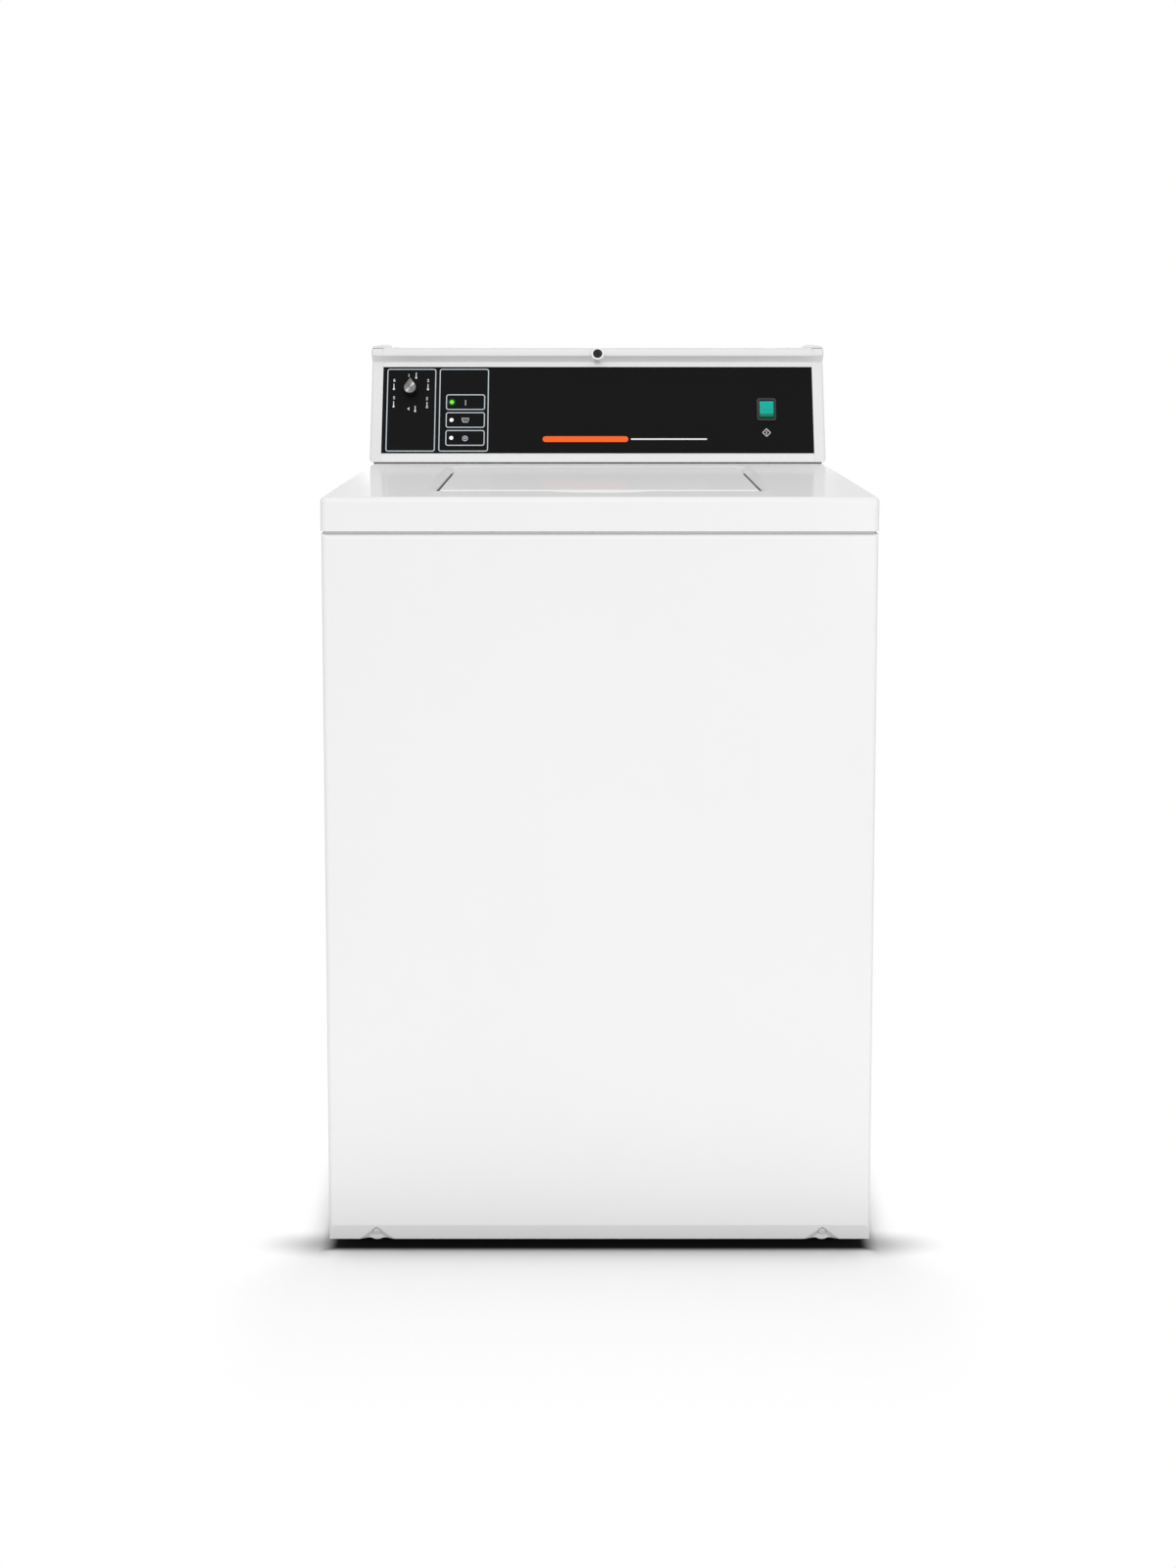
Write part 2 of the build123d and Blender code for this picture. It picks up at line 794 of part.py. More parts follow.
with BuildPart() as lid_hinge_bushings:
    for side in (-1, 1):
        with BuildSketch(Plane.YZ.offset(side * well_width / 2)):
            with Locations((hinge_y, hinge_z)):
                Circle(bushing_flange_radius)
        extrude(amount=-side * bushing_flange)
        with BuildSketch(Plane.YZ.offset(side * well_width / 2)):
            with Locations((hinge_y, hinge_z)):
                Circle(bushing_radius)
        extrude(amount=side * bushing_length)
    with BuildSketch(Plane.YZ.offset(-well_width)):
        with Locations((hinge_y, hinge_z)):
            Circle(hinge_pin_radius + shaft_fit)
    extrude(amount=2 * well_width, mode=Mode.SUBTRACT)
lid_hinge_bushings.part.label = "lid_hinge_bushings"
export_step(lid_hinge_bushings.part, "parts/lid_hinge_bushings.step")

with BuildPart() as lid_bumpers:
    with BuildSketch(Plane.XY.offset(lid_bottom)):
        with Locations((0, lid_front + lid_return / 2)):
            with GridLocations(2 * bumper_x, 1, 2, 1):
                Circle(bumper_radius)
    extrude(amount=-(lid_bottom - ledge_top - play), taper=bumper_taper)
lid_bumpers.part.label = "lid_bumpers"
export_step(lid_bumpers.part, "parts/lid_bumpers.step")

with BuildPart() as lid_switch:
    with BuildSketch(Plane.XY.offset(ledge_under)):
        with Locations((well_width / 2 - ledge_width / 2, lid_y)):
            RectangleRounded(lid_switch_width, lid_switch_length, lid_switch_corner)
    extrude(amount=-lid_switch_height)
lid_switch.part.label = "lid_switch"
export_step(lid_switch.part, "parts/lid_switch.step")

# Hood: gasket, two end caps, rail, face, overlay and rear cover
with BuildPart() as hood_gasket:
    gasket_front = hood_front + gasket_inset
    gasket_back = back - gasket_inset
    with BuildSketch(Plane.XY.offset(deck_height)):
        with Locations((0, (gasket_front + gasket_back) / 2)):
            Rectangle(width - 2 * edge_radius, gasket_back - gasket_front)
            Rectangle(
                width - 2 * edge_radius - 2 * gasket_width,
                gasket_back - gasket_front - 2 * gasket_width,
                mode=Mode.SUBTRACT,
            )
    extrude(amount=gasket_height)
hood_gasket.part.label = "hood_gasket"
export_step(hood_gasket.part, "parts/hood_gasket.step")


def cap_outline(inset):
    """The end cap's side view in the open sketch, drawn in by inset."""
    proud = cap_proud - inset
    nose = face_point(face_height + nose_rise, nose_reach + proud)
    straight_outline(
        (face_point(inset, proud)[0], hood_base + inset),
        face_point(face_height, proud),
        nose,
        (nose[0], cap_top - inset),
        (back - inset, cap_top - inset),
        (back - inset, hood_base + inset),
    )


for side, name in ((-1, "hood_end_left"), (1, "hood_end_right")):
    with BuildPart() as hood_end:
        with BuildSketch(Plane.YZ.offset(side * width / 2)) as end_sketch:
            cap_outline(0)
            top_corners = end_sketch.vertices().group_by(Axis.Y)[-1]
            fillet(top_corners, cap_nose_radius)
        extrude(amount=-side * cap_width)
        outer = hood_end.faces().sort_by(Axis.X)[0 if side < 0 else -1]
        fillet(outer.edges(), edge_radius - cap_proud)
        with BuildSketch(Plane.YZ.offset(side * (width / 2 - cap_width))):
            cap_outline(cap_wall)
        extrude(amount=side * (cap_width - cap_wall), mode=Mode.SUBTRACT)
    hood_end.part.label = name
    export_step(hood_end.part, f"parts/{name}.step")

with BuildPart() as hood_rail:
    nose = face_point(face_height + nose_rise, nose_reach)
    neck = face_point(face_height, -rail_core)
    with BuildSketch(Plane.YZ.offset(-hood_span / 2)) as rail_sketch:
        straight_outline(
            face_point(face_height, 0),
            nose,
            (nose[0], rail_top),
            (neck[0] + rail_flange, rail_top),
            (neck[0] + rail_flange, rail_top - rail_sheet),
            (neck[0], rail_top - rail_sheet),
            neck,
        )
        brow = rail_sketch.vertices().group_by(Axis.Y)[-1].sort_by(Axis.X)[0]
        fillet(brow, nose_radius)
    extrude(amount=hood_span)
    with BuildSketch(face_plane(0, lock_up, nose_reach + lock_proud)):
        Circle(lock_collar_radius)
    extrude(amount=-lock_length, mode=Mode.SUBTRACT)
hood_rail.part.label = "hood_rail"
export_step(hood_rail.part, "parts/hood_rail.step")

with BuildPart() as hood_face:
    with BuildSketch(face_plane()):
        with Locations((0, face_height / 2)):
            Rectangle(hood_span, face_height)
        with Locations((selector_across, selector_up)):
            Circle(selector_bush_radius, mode=Mode.SUBTRACT)
        with Locations((lamp_across, lamp_up)):
            with GridLocations(1, lamp_spacing, 1, 3):
                Circle(lamp_radius, mode=Mode.SUBTRACT)
        with Locations((start_across, start_up)):
            Rectangle(bezel_width - bezel_border, bezel_height - bezel_border, mode=Mode.SUBTRACT)
        with Locations((0, lock_up)):
            Circle(lock_collar_radius, mode=Mode.SUBTRACT)
    extrude(amount=-face_sheet)
    split(bisect_by=Plane.XY.offset(hood_base), keep=Keep.TOP)
hood_face.part.label = "hood_face"
export_step(hood_face.part, "parts/hood_face.step")

with BuildPart() as graphic_overlay:
    with BuildSketch(face_plane()):
        with Locations((0, overlay_bottom + overlay_height / 2)):
            Rectangle(hood_span, overlay_height)
        with Locations((selector_across, selector_up)):
            Circle(selector_bush_radius, mode=Mode.SUBTRACT)
        with Locations((lamp_across, lamp_up)):
            with GridLocations(1, lamp_spacing, 1, 3):
                Circle(lamp_radius, mode=Mode.SUBTRACT)
        with Locations((start_across, start_up)):
            Rectangle(bezel_width - bezel_border, bezel_height - bezel_border, mode=Mode.SUBTRACT)
    extrude(amount=overlay_sheet)
graphic_overlay.part.label = "graphic_overlay"
export_step(graphic_overlay.part, "parts/graphic_overlay.step")

with BuildPart() as hood_rear_cover:
    cover_front = neck[0] + rail_flange
    with BuildSketch(Plane.YZ.offset(-hood_span / 2)):
        straight_outline(
            (cover_front, rail_top),
            (back, rail_top),
            (back, hood_base),
            (back - rear_cover_sheet, hood_base),
            (back - rear_cover_sheet, rail_top - rear_cover_sheet),
            (cover_front, rail_top - rear_cover_sheet),
        )
    extrude(amount=hood_span)
hood_rear_cover.part.label = "hood_rear_cover"
export_step(hood_rear_cover.part, "parts/hood_rear_cover.step")

# Key lock in the rail: collar, and the turning plug with its cam
with BuildPart() as lock_collar:
    with BuildSketch(face_plane(0, lock_up, nose_reach + lock_proud)):
        Circle(lock_collar_radius)
        Circle(lock_plug_radius + shaft_fit, mode=Mode.SUBTRACT)
    extrude(amount=-lock_length + cam_sheet)
lock_collar.part.label = "lock_collar"
export_step(lock_collar.part, "parts/lock_collar.step")

with BuildPart() as lock_plug:
    with BuildSketch(face_plane(0, lock_up, nose_reach + lock_proud - lock_recess)):
        Circle(lock_plug_radius)
    extrude(amount=-lock_length)
    chamfer(lock_plug.edges().sort_by(Axis.Y)[0], lock_recess / 2)
    with BuildSketch(face_plane(0, lock_up, nose_reach + lock_proud - lock_recess - lock_length)):
        with Locations((0, -cam_length / 2 + cam_width / 2)):
            SlotOverall(cam_length, cam_width, rotation=90)
    extrude(amount=-cam_sheet)
lock_plug.part.label = "lock_plug"
export_step(lock_plug.part, "parts/lock_plug.step")

# Selector: switch body, and the teardrop knob with its stem
with BuildPart() as selector_switch:
    with BuildSketch(face_plane(selector_across, selector_up, -face_sheet)):
        Circle(selector_body_radius)
    extrude(amount=-selector_body_depth)
    with BuildSketch(face_plane(selector_across, selector_up, -face_sheet)):
        Circle(selector_bush_radius)
    extrude(amount=face_sheet + overlay_sheet + selector_bush_proud)
    with BuildSketch(face_plane(selector_across, selector_up, -selector_body_depth)):
        Circle(selector_shaft_radius + shaft_fit)
    extrude(amount=2 * selector_body_depth, mode=Mode.SUBTRACT)
selector_switch.part.label = "selector_switch"
export_step(selector_switch.part, "parts/selector_switch.step")

knob_back = overlay_sheet + selector_bush_proud + play
with BuildPart() as selector_knob:
    with BuildSketch(face_plane(selector_across, selector_up, knob_back)):
        with BuildLine() as teardrop:
            touch = math.asin(knob_radius / knob_tip)
            side_x = knob_radius * math.cos(touch)
            side_y = knob_radius * math.sin(touch)
            ThreePointArc((side_x, side_y), (0, -knob_radius), (-side_x, side_y))
            Line((-side_x, side_y), (0, knob_tip))
            Line((0, knob_tip), (side_x, side_y))
        make_face()
    extrude(amount=knob_depth)
    fillet(selector_knob.faces().sort_by(Axis.Y)[0].edges(), knob_edge)
    with BuildSketch(face_plane(selector_across, selector_up, knob_back)):
        Circle(selector_shaft_radius)
    extrude(amount=-selector_body_depth)
selector_knob.part.label = "selector_knob"
export_step(selector_knob.part, "parts/selector_knob.step")

# Start switch: housing with its bezel, and the sprung rocker
bezel_out = overlay_sheet + bezel_proud
with BuildPart() as start_switch:
    with BuildSketch(face_plane(start_across, start_up, overlay_sheet)):
        RectangleRounded(bezel_width, bezel_height, bezel_corner)
    extrude(amount=bezel_proud)
    with BuildSketch(face_plane(start_across, start_up, overlay_sheet)):
        Rectangle(bezel_width - bezel_border, bezel_height - bezel_border)
    extrude(amount=-switch_body_depth)
    with BuildSketch(face_plane(start_across, start_up, bezel_out)):
        Rectangle(bezel_width - 2 * bezel_border, bezel_height - 2 * bezel_border)
    extrude(amount=-switch_body_depth, mode=Mode.SUBTRACT)
start_switch.part.label = "start_switch"
export_step(start_switch.part, "parts/start_switch.step")

rocker_half = bezel_height / 2 - bezel_border - play
rocker_width = bezel_width - 2 * bezel_border - 2 * play
pivot_y, pivot_z = face_point(start_up, -rocker_depth)
rocker_plane = Plane(
    origin=(start_across - rocker_width / 2, pivot_y, pivot_z),
    x_dir=(0, math.sin(lean), math.cos(lean)),
    z_dir=(1, 0, 0),
)
with BuildPart() as start_rocker:
    with BuildSketch(rocker_plane):
        Circle(rocker_half)
        with BuildLine() as rocker_face:
            Polyline(
                (rocker_half, -rocker_depth - rocker_heel),
                (-rocker_ridge_drop, -rocker_depth - rocker_ridge),
                (-rocker_half, -rocker_depth - rocker_toe),
                (-rocker_half, rocker_base),
                (rocker_half, rocker_base),
                close=True,
            )
        make_face(rocker_face.edges(), mode=Mode.INTERSECT)
    extrude(amount=rocker_width)
start_rocker.part.label = "start_rocker"
export_step(start_rocker.part, "parts/start_rocker.step")

# Status lamps and the control board they stand on
board_out = -face_sheet - board_standoff
with BuildPart() as status_lamps:
    with BuildSketch(face_plane(lamp_across, lamp_up, board_out)):
        with GridLocations(1, lamp_spacing, 1, 3):
            Circle(lamp_radius)
    extrude(amount=overlay_sheet + lamp_proud - board_out)
status_lamps.part.label = "status_lamps"
export_step(status_lamps.part, "parts/status_lamps.step")

with BuildPart() as control_board:
    with BuildSketch(face_plane(board_across, board_up, board_out)):
        Rectangle(board_width, board_height)
    extrude(amount=-board_sheet)
    with BuildSketch(face_plane(board_across, board_up, board_out)):
        with GridLocations(board_width - 2 * standoff_inset, board_height - 2 * standoff_inset, 2, 2):
            Circle(standoff_radius)
    extrude(amount=board_standoff)
    with BuildSketch(face_plane(board_across, board_up, board_out - board_sheet)):
        with Locations((board_width / 4, 0)):
            Rectangle(board_height / 2, board_height / 2)
        with Locations((-board_width / 5, 0)):
            with GridLocations(board_width / 6, board_height / 3, 2, 2):
                Rectangle(board_width / 10, board_height / 5)
    extrude(amount=-2 * board_standoff)
control_board.part.label = "control_board"
export_step(control_board.part, "parts/control_board.step")

with BuildPart() as pressure_switch:
    with BuildSketch(face_plane(pressure_across, pressure_up, -face_sheet)):
        Circle(pressure_radius)
    extrude(amount=-pressure_depth)
    with BuildSketch(face_plane(pressure_across, pressure_up, -face_sheet - pressure_depth)):
        Circle(pressure_radius / 2)
    extrude(amount=-pressure_depth / 2)
pressure_switch.part.label = "pressure_switch"
export_step(pressure_switch.part, "parts/pressure_switch.step")

# Rear service tray, cord bushing and mixing valve
with BuildPart() as service_tray:
    with BuildSketch(Plane.XZ.offset(-(back - sheet))):
        with Locations((tray_x, tray_z)):
            Rectangle(tray_width + 2 * tray_flange, tray_height + 2 * tray_flange)
    extrude(amount=sheet)
    with BuildSketch(Plane.XZ.offset(-(back - sheet))):
        with Locations((tray_x, tray_z)):
            Rectangle(tray_width, tray_height)
    extrude(amount=tray_depth)
    with BuildSketch(Plane.XZ.offset(-(back - sheet))):
        with Locations((tray_x, tray_z)):
            Rectangle(tray_width - 2 * sheet, tray_height - 2 * sheet)
    extrude(amount=tray_depth - sheet, mode=Mode.SUBTRACT)
    with BuildSketch(Plane.XZ.offset(-back)):
        with Locations((cold_x, tray_z), (hot_x, tray_z)):
            Circle(inlet_boss)
        with Locations((cord_x, tray_z)):
            Circle(cord_bush_radius)
    extrude(amount=2 * tray_depth, mode=Mode.SUBTRACT)
    with BuildSketch(Plane.XZ.offset(-(back - inlet_recess))):
        with Locations((drain_x, tray_z)):
            Circle(spigot_radius)
    extrude(amount=tray_depth + spigot_radius)
    with BuildSketch(Plane.XZ.offset(-back)):
        with Locations((drain_x, tray_z)):
            Circle(spigot_bore)
    extrude(amount=2 * tray_depth, mode=Mode.SUBTRACT)
service_tray.part.label = "service_tray"
export_step(service_tray.part, "parts/service_tray.step")

with BuildPart() as cord_bushing:
    with BuildSketch(Plane.XZ.offset(-tray_floor)):
        with Locations((cord_x, tray_z)):
            Circle(cord_flange)
    extrude(amount=-cord_flange_height)
    with BuildSketch(Plane.XZ.offset(-tray_floor)):
        with Locations((cord_x, tray_z)):
            Circle(cord_bush_radius)
    extrude(amount=cord_bush_length)
    with BuildSketch(Plane.XZ.offset(-back)):
        with Locations((cord_x, tray_z)):
            Circle(cord_bore)
    extrude(amount=2 * tray_depth, mode=Mode.SUBTRACT)
cord_bushing.part.label = "cord_bushing"
export_step(cord_bushing.part, "parts/cord_bushing.step")

valve_x = (hot_x + cold_x) / 2
valve_span = abs(hot_x - cold_x)
valve_mid = tray_inside - valve_plate_sheet - valve_body_depth / 2
with BuildPart() as mixing_valve:
    with BuildSketch(Plane.XZ.offset(-tray_inside)):
        with Locations((valve_x, tray_z)):
            RectangleRounded(2 * valve_span, valve_plate_height, corner_radius)
    extrude(amount=valve_plate_sheet)
    with BuildSketch(Plane.XZ.offset(-tray_inside + valve_plate_sheet)):
        with Locations((valve_x, tray_z)):
            Rectangle(1.5 * valve_span, valve_body_height)
    extrude(amount=valve_body_depth)
    with BuildSketch(Plane.XZ.offset(-tray_floor)):
        with Locations((cold_x, tray_z), (hot_x, tray_z)):
            Circle(inlet_boss)
    extrude(amount=sheet)
    with BuildSketch(Plane.XZ.offset(-(back - inlet_recess))):
        with Locations((cold_x, tray_z), (hot_x, tray_z)):
            Circle(inlet_radius)
    extrude(amount=tray_depth)
    with BuildSketch(Plane.XY.offset(tray_z - valve_body_height / 2)):
        with Locations((cold_x, valve_mid), (hot_x, valve_mid)):
            Circle(solenoid_radius)
    extrude(amount=-solenoid_height)
    with BuildSketch(Plane.XY.offset(tray_z + valve_body_height / 2)):
        with Locations((valve_x, valve_mid)):
            Circle(valve_outlet_radius)
    extrude(amount=valve_outlet_height)
    with BuildSketch(Plane.XZ.offset(-back)):
        with Locations((cold_x, tray_z), (hot_x, tray_z)):
            Circle(inlet_bore)
    extrude(amount=tray_depth, mode=Mode.SUBTRACT)
mixing_valve.part.label = "mixing_valve"
export_step(mixing_valve.part, "parts/mixing_valve.step")

# Fill nozzle under the deck, and the hose that feeds it
with BuildPart() as fill_nozzle:
    with BuildLine() as nozzle_path:
        Polyline(
            (nozzle_x, nozzle_rear, nozzle_z),
            (nozzle_x, nozzle_bend, nozzle_z),
            (nozzle_x, nozzle_tip, nozzle_z - nozzle_drop),
        )
    with BuildSketch(Plane(origin=nozzle_path.line @ 0, z_dir=nozzle_path.line % 0)):
        Circle(nozzle_radius)
        Circle(nozzle_bore, mode=Mode.SUBTRACT)
    sweep(transition=Transition.ROUND)
    with BuildSketch(Plane.YZ.offset(nozzle_x - nozzle_bracket / 2)):
        with Locations((nozzle_bend + nozzle_bracket_length, (nozzle_z + nozzle_bore + deck_under) / 2)):
            Rectangle(nozzle_bracket_length, deck_under - nozzle_z - nozzle_bore)
    extrude(amount=nozzle_bracket)
    with BuildSketch(Plane.XY.offset(deck_under)):
        with Locations((nozzle_x, nozzle_bend + nozzle_bracket_length)):
            Rectangle(8 * nozzle_bracket, nozzle_bracket_length)
    extrude(amount=-nozzle_bracket / 2)
fill_nozzle.part.label = "fill_nozzle"
export_step(fill_nozzle.part, "parts/fill_nozzle.step")

hose_start = tray_z + valve_body_height / 2
with BuildPart() as fill_hose:
    with BuildLine() as hose_path:
        Spline(
            (valve_x, valve_mid, hose_start),
            (nozzle_x, nozzle_rear, nozzle_z),
            tangents=((0, 0, 1), (0, -1, 0)),
        )
    with BuildSketch(Plane(origin=hose_path.line @ 0, z_dir=hose_path.line % 0)):
        Circle(nozzle_radius + hose_wall)
        Circle(nozzle_radius, mode=Mode.SUBTRACT)
    sweep()
fill_hose.part.label = "fill_hose"
export_step(fill_hose.part, "parts/fill_hose.step")

# Pivot dome, the struts that carry the tub on it, and the motor plate
with BuildPart() as pivot_dome:
    with Locations((0, tub_y, dome_centre)):
        Sphere(dome_outer)
        Sphere(dome_radius, mode=Mode.SUBTRACT)
    with Locations((0, tub_y, dome_centre + dome_outer)):
        Cylinder(
            dome_rim_radius,
            dome_outer,
            align=(Align.CENTER, Align.CENTER, Align.MAX),
            mode=Mode.INTERSECT,
        )
    with Locations((0, tub_y, hub_bottom_height)):
        Cylinder(
            hub_radius,
            hub_top_height - hub_bottom_height,
            align=(Align.CENTER, Align.CENTER, Align.MIN),
        )
        Cylinder(lower_bearing_radius, 2 * hub_top_height, mode=Mode.SUBTRACT)
pivot_dome.part.label = "pivot_dome"
export_step(pivot_dome.part, "parts/pivot_dome.step")

with BuildPart() as one_strut:
    with BuildSketch(tub_plane):
        straight_outline(
            (strut_foot_radius - strut_land, 0),
            (strut_foot_radius, 0),
            (strut_foot_radius, dome_seat_height + strut_land),
            (strut_head_radius, tub_bottom - strut_sheet),
            (strut_head_radius + strut_land, tub_bottom - strut_sheet),
            (strut_head_radius + strut_land, tub_bottom),
            (strut_head_radius - strut_sheet, tub_bottom),
            (strut_foot_radius - strut_sheet, dome_seat_height + strut_land + strut_sheet),
            (strut_foot_radius - strut_land, dome_seat_height + strut_land + strut_sheet),
        )
    extrude(amount=strut_width / 2, both=True)
    with Locations((0, tub_y, dome_centre)):
        Sphere(dome_outer, mode=Mode.SUBTRACT)

with BuildPart() as tub_struts:
    for corner in pedestal_angles:
        add(one_strut.part.rotate(tub_axis, corner))
tub_struts.part.label = "tub_struts"
export_step(tub_struts.part, "parts/tub_struts.step")

with BuildPart() as motor_plate:
    with BuildSketch(Plane.XY.offset(plate_under)):
        with Locations(((plate_left + plate_right) / 2, (plate_front + plate_rear) / 2)):
            RectangleRounded(plate_right - plate_left, plate_rear - plate_front, plate_corner)
        with Locations((0, plate_rear)):
            RectangleRounded(plate_foot_width, 2 * plate_foot_length, plate_corner)
    extrude(amount=plate_sheet)
    with BuildSketch(Plane.XY.offset(plate_under)):
        with Locations((0, plate_rear + plate_foot_length / 2)):
            Rectangle(plate_foot_width, plate_foot_length - plate_corner)
    extrude(amount=-plate_under / 2)
    with Locations((0, tub_y, dome_centre)):
        Sphere(dome_outer, mode=Mode.SUBTRACT)
    with Locations((motor_x, motor_y, plate_under), (pump_x, pump_y, plate_under)):
        Cylinder(2 * motor_shaft_radius, 4 * plate_sheet, mode=Mode.SUBTRACT)
motor_plate.part.label = "motor_plate"
export_step(motor_plate.part, "parts/motor_plate.step")

# Centring springs between the dome's rim and posts on the base
with BuildPart() as one_spring:
    run = spring_outer - spring_inner
    fall = spring_inner_height - spring_outer_height
    length = math.hypot(run, fall)
    spring_plane = Plane(
        origin=(spring_inner, tub_y, spring_inner_height),
        x_dir=(run / length, 0, -fall / length),
        z_dir=(0, -1, 0),
    )
    coil = (length - 4 * spring_radius) / spring_coils
    with BuildSketch(spring_plane):
        straight_outline((0, 0), (length, 0), (length, spring_wire), (0, spring_wire))
        for turn in range(spring_coils):
            begin = 2 * spring_radius + turn * coil
            straight_outline(
                (begin, 0),
                (begin + coil, 0),
                (begin + coil / 2, spring_radius),
            )
    revolve(axis=Axis((spring_inner, tub_y, spring_inner_height), (run, 0, -fall)))

with BuildPart() as centering_springs:
    for corner in pedestal_angles:
        for lean_side in (-1, 1):
            add(one_spring.part.rotate(tub_axis, corner + lean_side * spring_angle))
centering_springs.part.label = "centering_springs"
export_step(centering_springs.part, "parts/centering_springs.step")

# Outer tub and its cover
with BuildPart() as outer_tub:
    with BuildSketch(tub_plane):
        straight_outline(
            (tub_centre_hole, tub_bottom),
            (tub_radius, tub_bottom),
            (tub_radius, tub_top - tub_rim),
            (tub_radius + tub_rim, tub_top - tub_rim),
            (tub_radius + tub_rim, tub_top),
            (tub_inner, tub_top),
            (tub_inner, tub_bottom + tub_wall),
            (tub_centre_hole, tub_bottom + tub_wall),
        )
    revolve(axis=tub_axis)
    with Locations((sump_x, sump_y, tub_bottom)):
        Cylinder(sump_spigot, sump_length, align=(Align.CENTER, Align.CENTER, Align.MAX))
        Cylinder(sump_spigot - tub_wall, 4 * sump_length, mode=Mode.SUBTRACT)
outer_tub.part.label = "outer_tub"
export_step(outer_tub.part, "parts/outer_tub.step")

with BuildPart() as tub_cover:
    cover_rim = tub_radius + tub_rim
    with BuildSketch(tub_plane):
        straight_outline(
            (cover_inner, tub_top - cover_lip),
            (cover_inner + cover_sheet, tub_top - cover_lip),
            (cover_inner + cover_sheet, tub_top),
            (cover_rim, tub_top),
            (cover_rim, tub_top - cover_skirt),
            (cover_rim + cover_sheet, tub_top - cover_skirt),
            (cover_rim + cover_sheet, tub_top + cover_sheet),
            (cover_inner, tub_top + cover_sheet),
        )
    revolve(axis=tub_axis)
tub_cover.part.label = "tub_cover"
export_step(tub_cover.part, "parts/tub_cover.step")

# Bearing housing and the two main bearings
bearing_bottom = housing_bottom + upper_bearing_rise
with BuildPart() as bearing_housing:
    with BuildSketch(tub_plane):
        straight_outline(
            (tube_radius + agitator_wall, housing_bottom),
            (housing_radius, housing_bottom),
            (housing_radius, tub_bottom - housing_flange),
            (housing_flange_radius, tub_bottom - housing_flange),
            (housing_flange_radius, tub_bottom),
            (housing_boss_radius, tub_bottom),
            (housing_boss_radius, housing_boss_top),
            (tube_radius + agitator_wall, housing_boss_top),
            (tube_radius + agitator_wall, bearing_bottom + bearing_height),
            (upper_bearing_radius, bearing_bottom + bearing_height),
            (upper_bearing_radius, bearing_bottom),
            (tube_radius + agitator_wall, bearing_bottom),
        )
    revolve(axis=tub_axis)
bearing_housing.part.label = "bearing_housing"
export_step(bearing_housing.part, "parts/bearing_housing.step")

lower_bearing_bottom = (hub_bottom_height + hub_top_height - bearing_height) / 2
with BuildPart() as main_bearings:
    with Locations((0, tub_y, bearing_bottom)):
        Cylinder(
            upper_bearing_radius, bearing_height, align=(Align.CENTER, Align.CENTER, Align.MIN)
        )
        Cylinder(tube_radius + shaft_fit, 4 * bearing_height, mode=Mode.SUBTRACT)
    with Locations((0, tub_y, lower_bearing_bottom)):
        Cylinder(
            lower_bearing_radius, bearing_height, align=(Align.CENTER, Align.CENTER, Align.MIN)
        )
        Cylinder(input_radius + shaft_fit, 4 * bearing_height, mode=Mode.SUBTRACT)
main_bearings.part.label = "main_bearings"
export_step(main_bearings.part, "parts/main_bearings.step")

# Spin unit: basket, balance ring, hub, tube, transmission and drive pulley
with BuildPart() as wash_basket:
    basket_outer = basket_radius + basket_wall
    with BuildSketch(tub_plane) as basket_sketch:
        straight_outline(
            (hub_boss_radius, basket_floor),
            (basket_outer, basket_floor),
            (basket_outer, basket_top),
            (basket_radius, basket_top),
            (basket_radius, basket_floor + basket_wall),
            (hub_boss_radius, basket_floor + basket_wall),
        )
        low_edge = basket_sketch.vertices().group_by(Axis.X)[-1].sort_by(Axis.Y)[0]
        fillet(low_edge, basket_corner)
        inner_edge = basket_sketch.vertices().filter_by(
            lambda v: abs(v.X - basket_radius) < basket_wall / 4 and v.Y < basket_top - basket_corner
        )
        fillet(inner_edge, basket_corner - basket_wall)
    revolve(axis=tub_axis)
wash_basket.part.label = "wash_basket"
export_step(wash_basket.part, "parts/wash_basket.step")

with BuildPart() as balance_ring:
    with BuildSketch(tub_plane) as ring_sketch:
        straight_outline(
            (ring_inner, basket_top - ring_height),
            (basket_radius, basket_top - ring_height),
            (basket_radius, basket_top),
            (ring_inner, basket_top),
        )
        fillet(ring_sketch.vertices().group_by(Axis.X)[0], ring_edge)
    revolve(axis=tub_axis)
balance_ring.part.label = "balance_ring"
export_step(balance_ring.part, "parts/balance_ring.step")

with BuildPart() as basket_hub:
    with BuildSketch(tub_plane):
        straight_outline(
            (tube_radius, hub_boss_bottom),
            (hub_boss_radius, hub_boss_bottom),
            (hub_flange_radius, basket_floor - hub_flange),
            (hub_flange_radius, basket_floor),
            (hub_boss_radius, basket_floor),
            (hub_boss_radius, hub_boss_top),
            (tube_radius, hub_boss_top),
        )
    revolve(axis=tub_axis)
basket_hub.part.label = "basket_hub"
export_step(basket_hub.part, "parts/basket_hub.step")

with BuildPart() as spin_tube:
    with Locations((0, tub_y, case_top)):
        Cylinder(tube_radius, hub_boss_top - case_top, align=(Align.CENTER, Align.CENTER, Align.MIN))
        Cylinder(agitator_shaft_radius + shaft_fit, 4 * hub_boss_top, mode=Mode.SUBTRACT)
spin_tube.part.label = "spin_tube"
export_step(spin_tube.part, "parts/spin_tube.step")

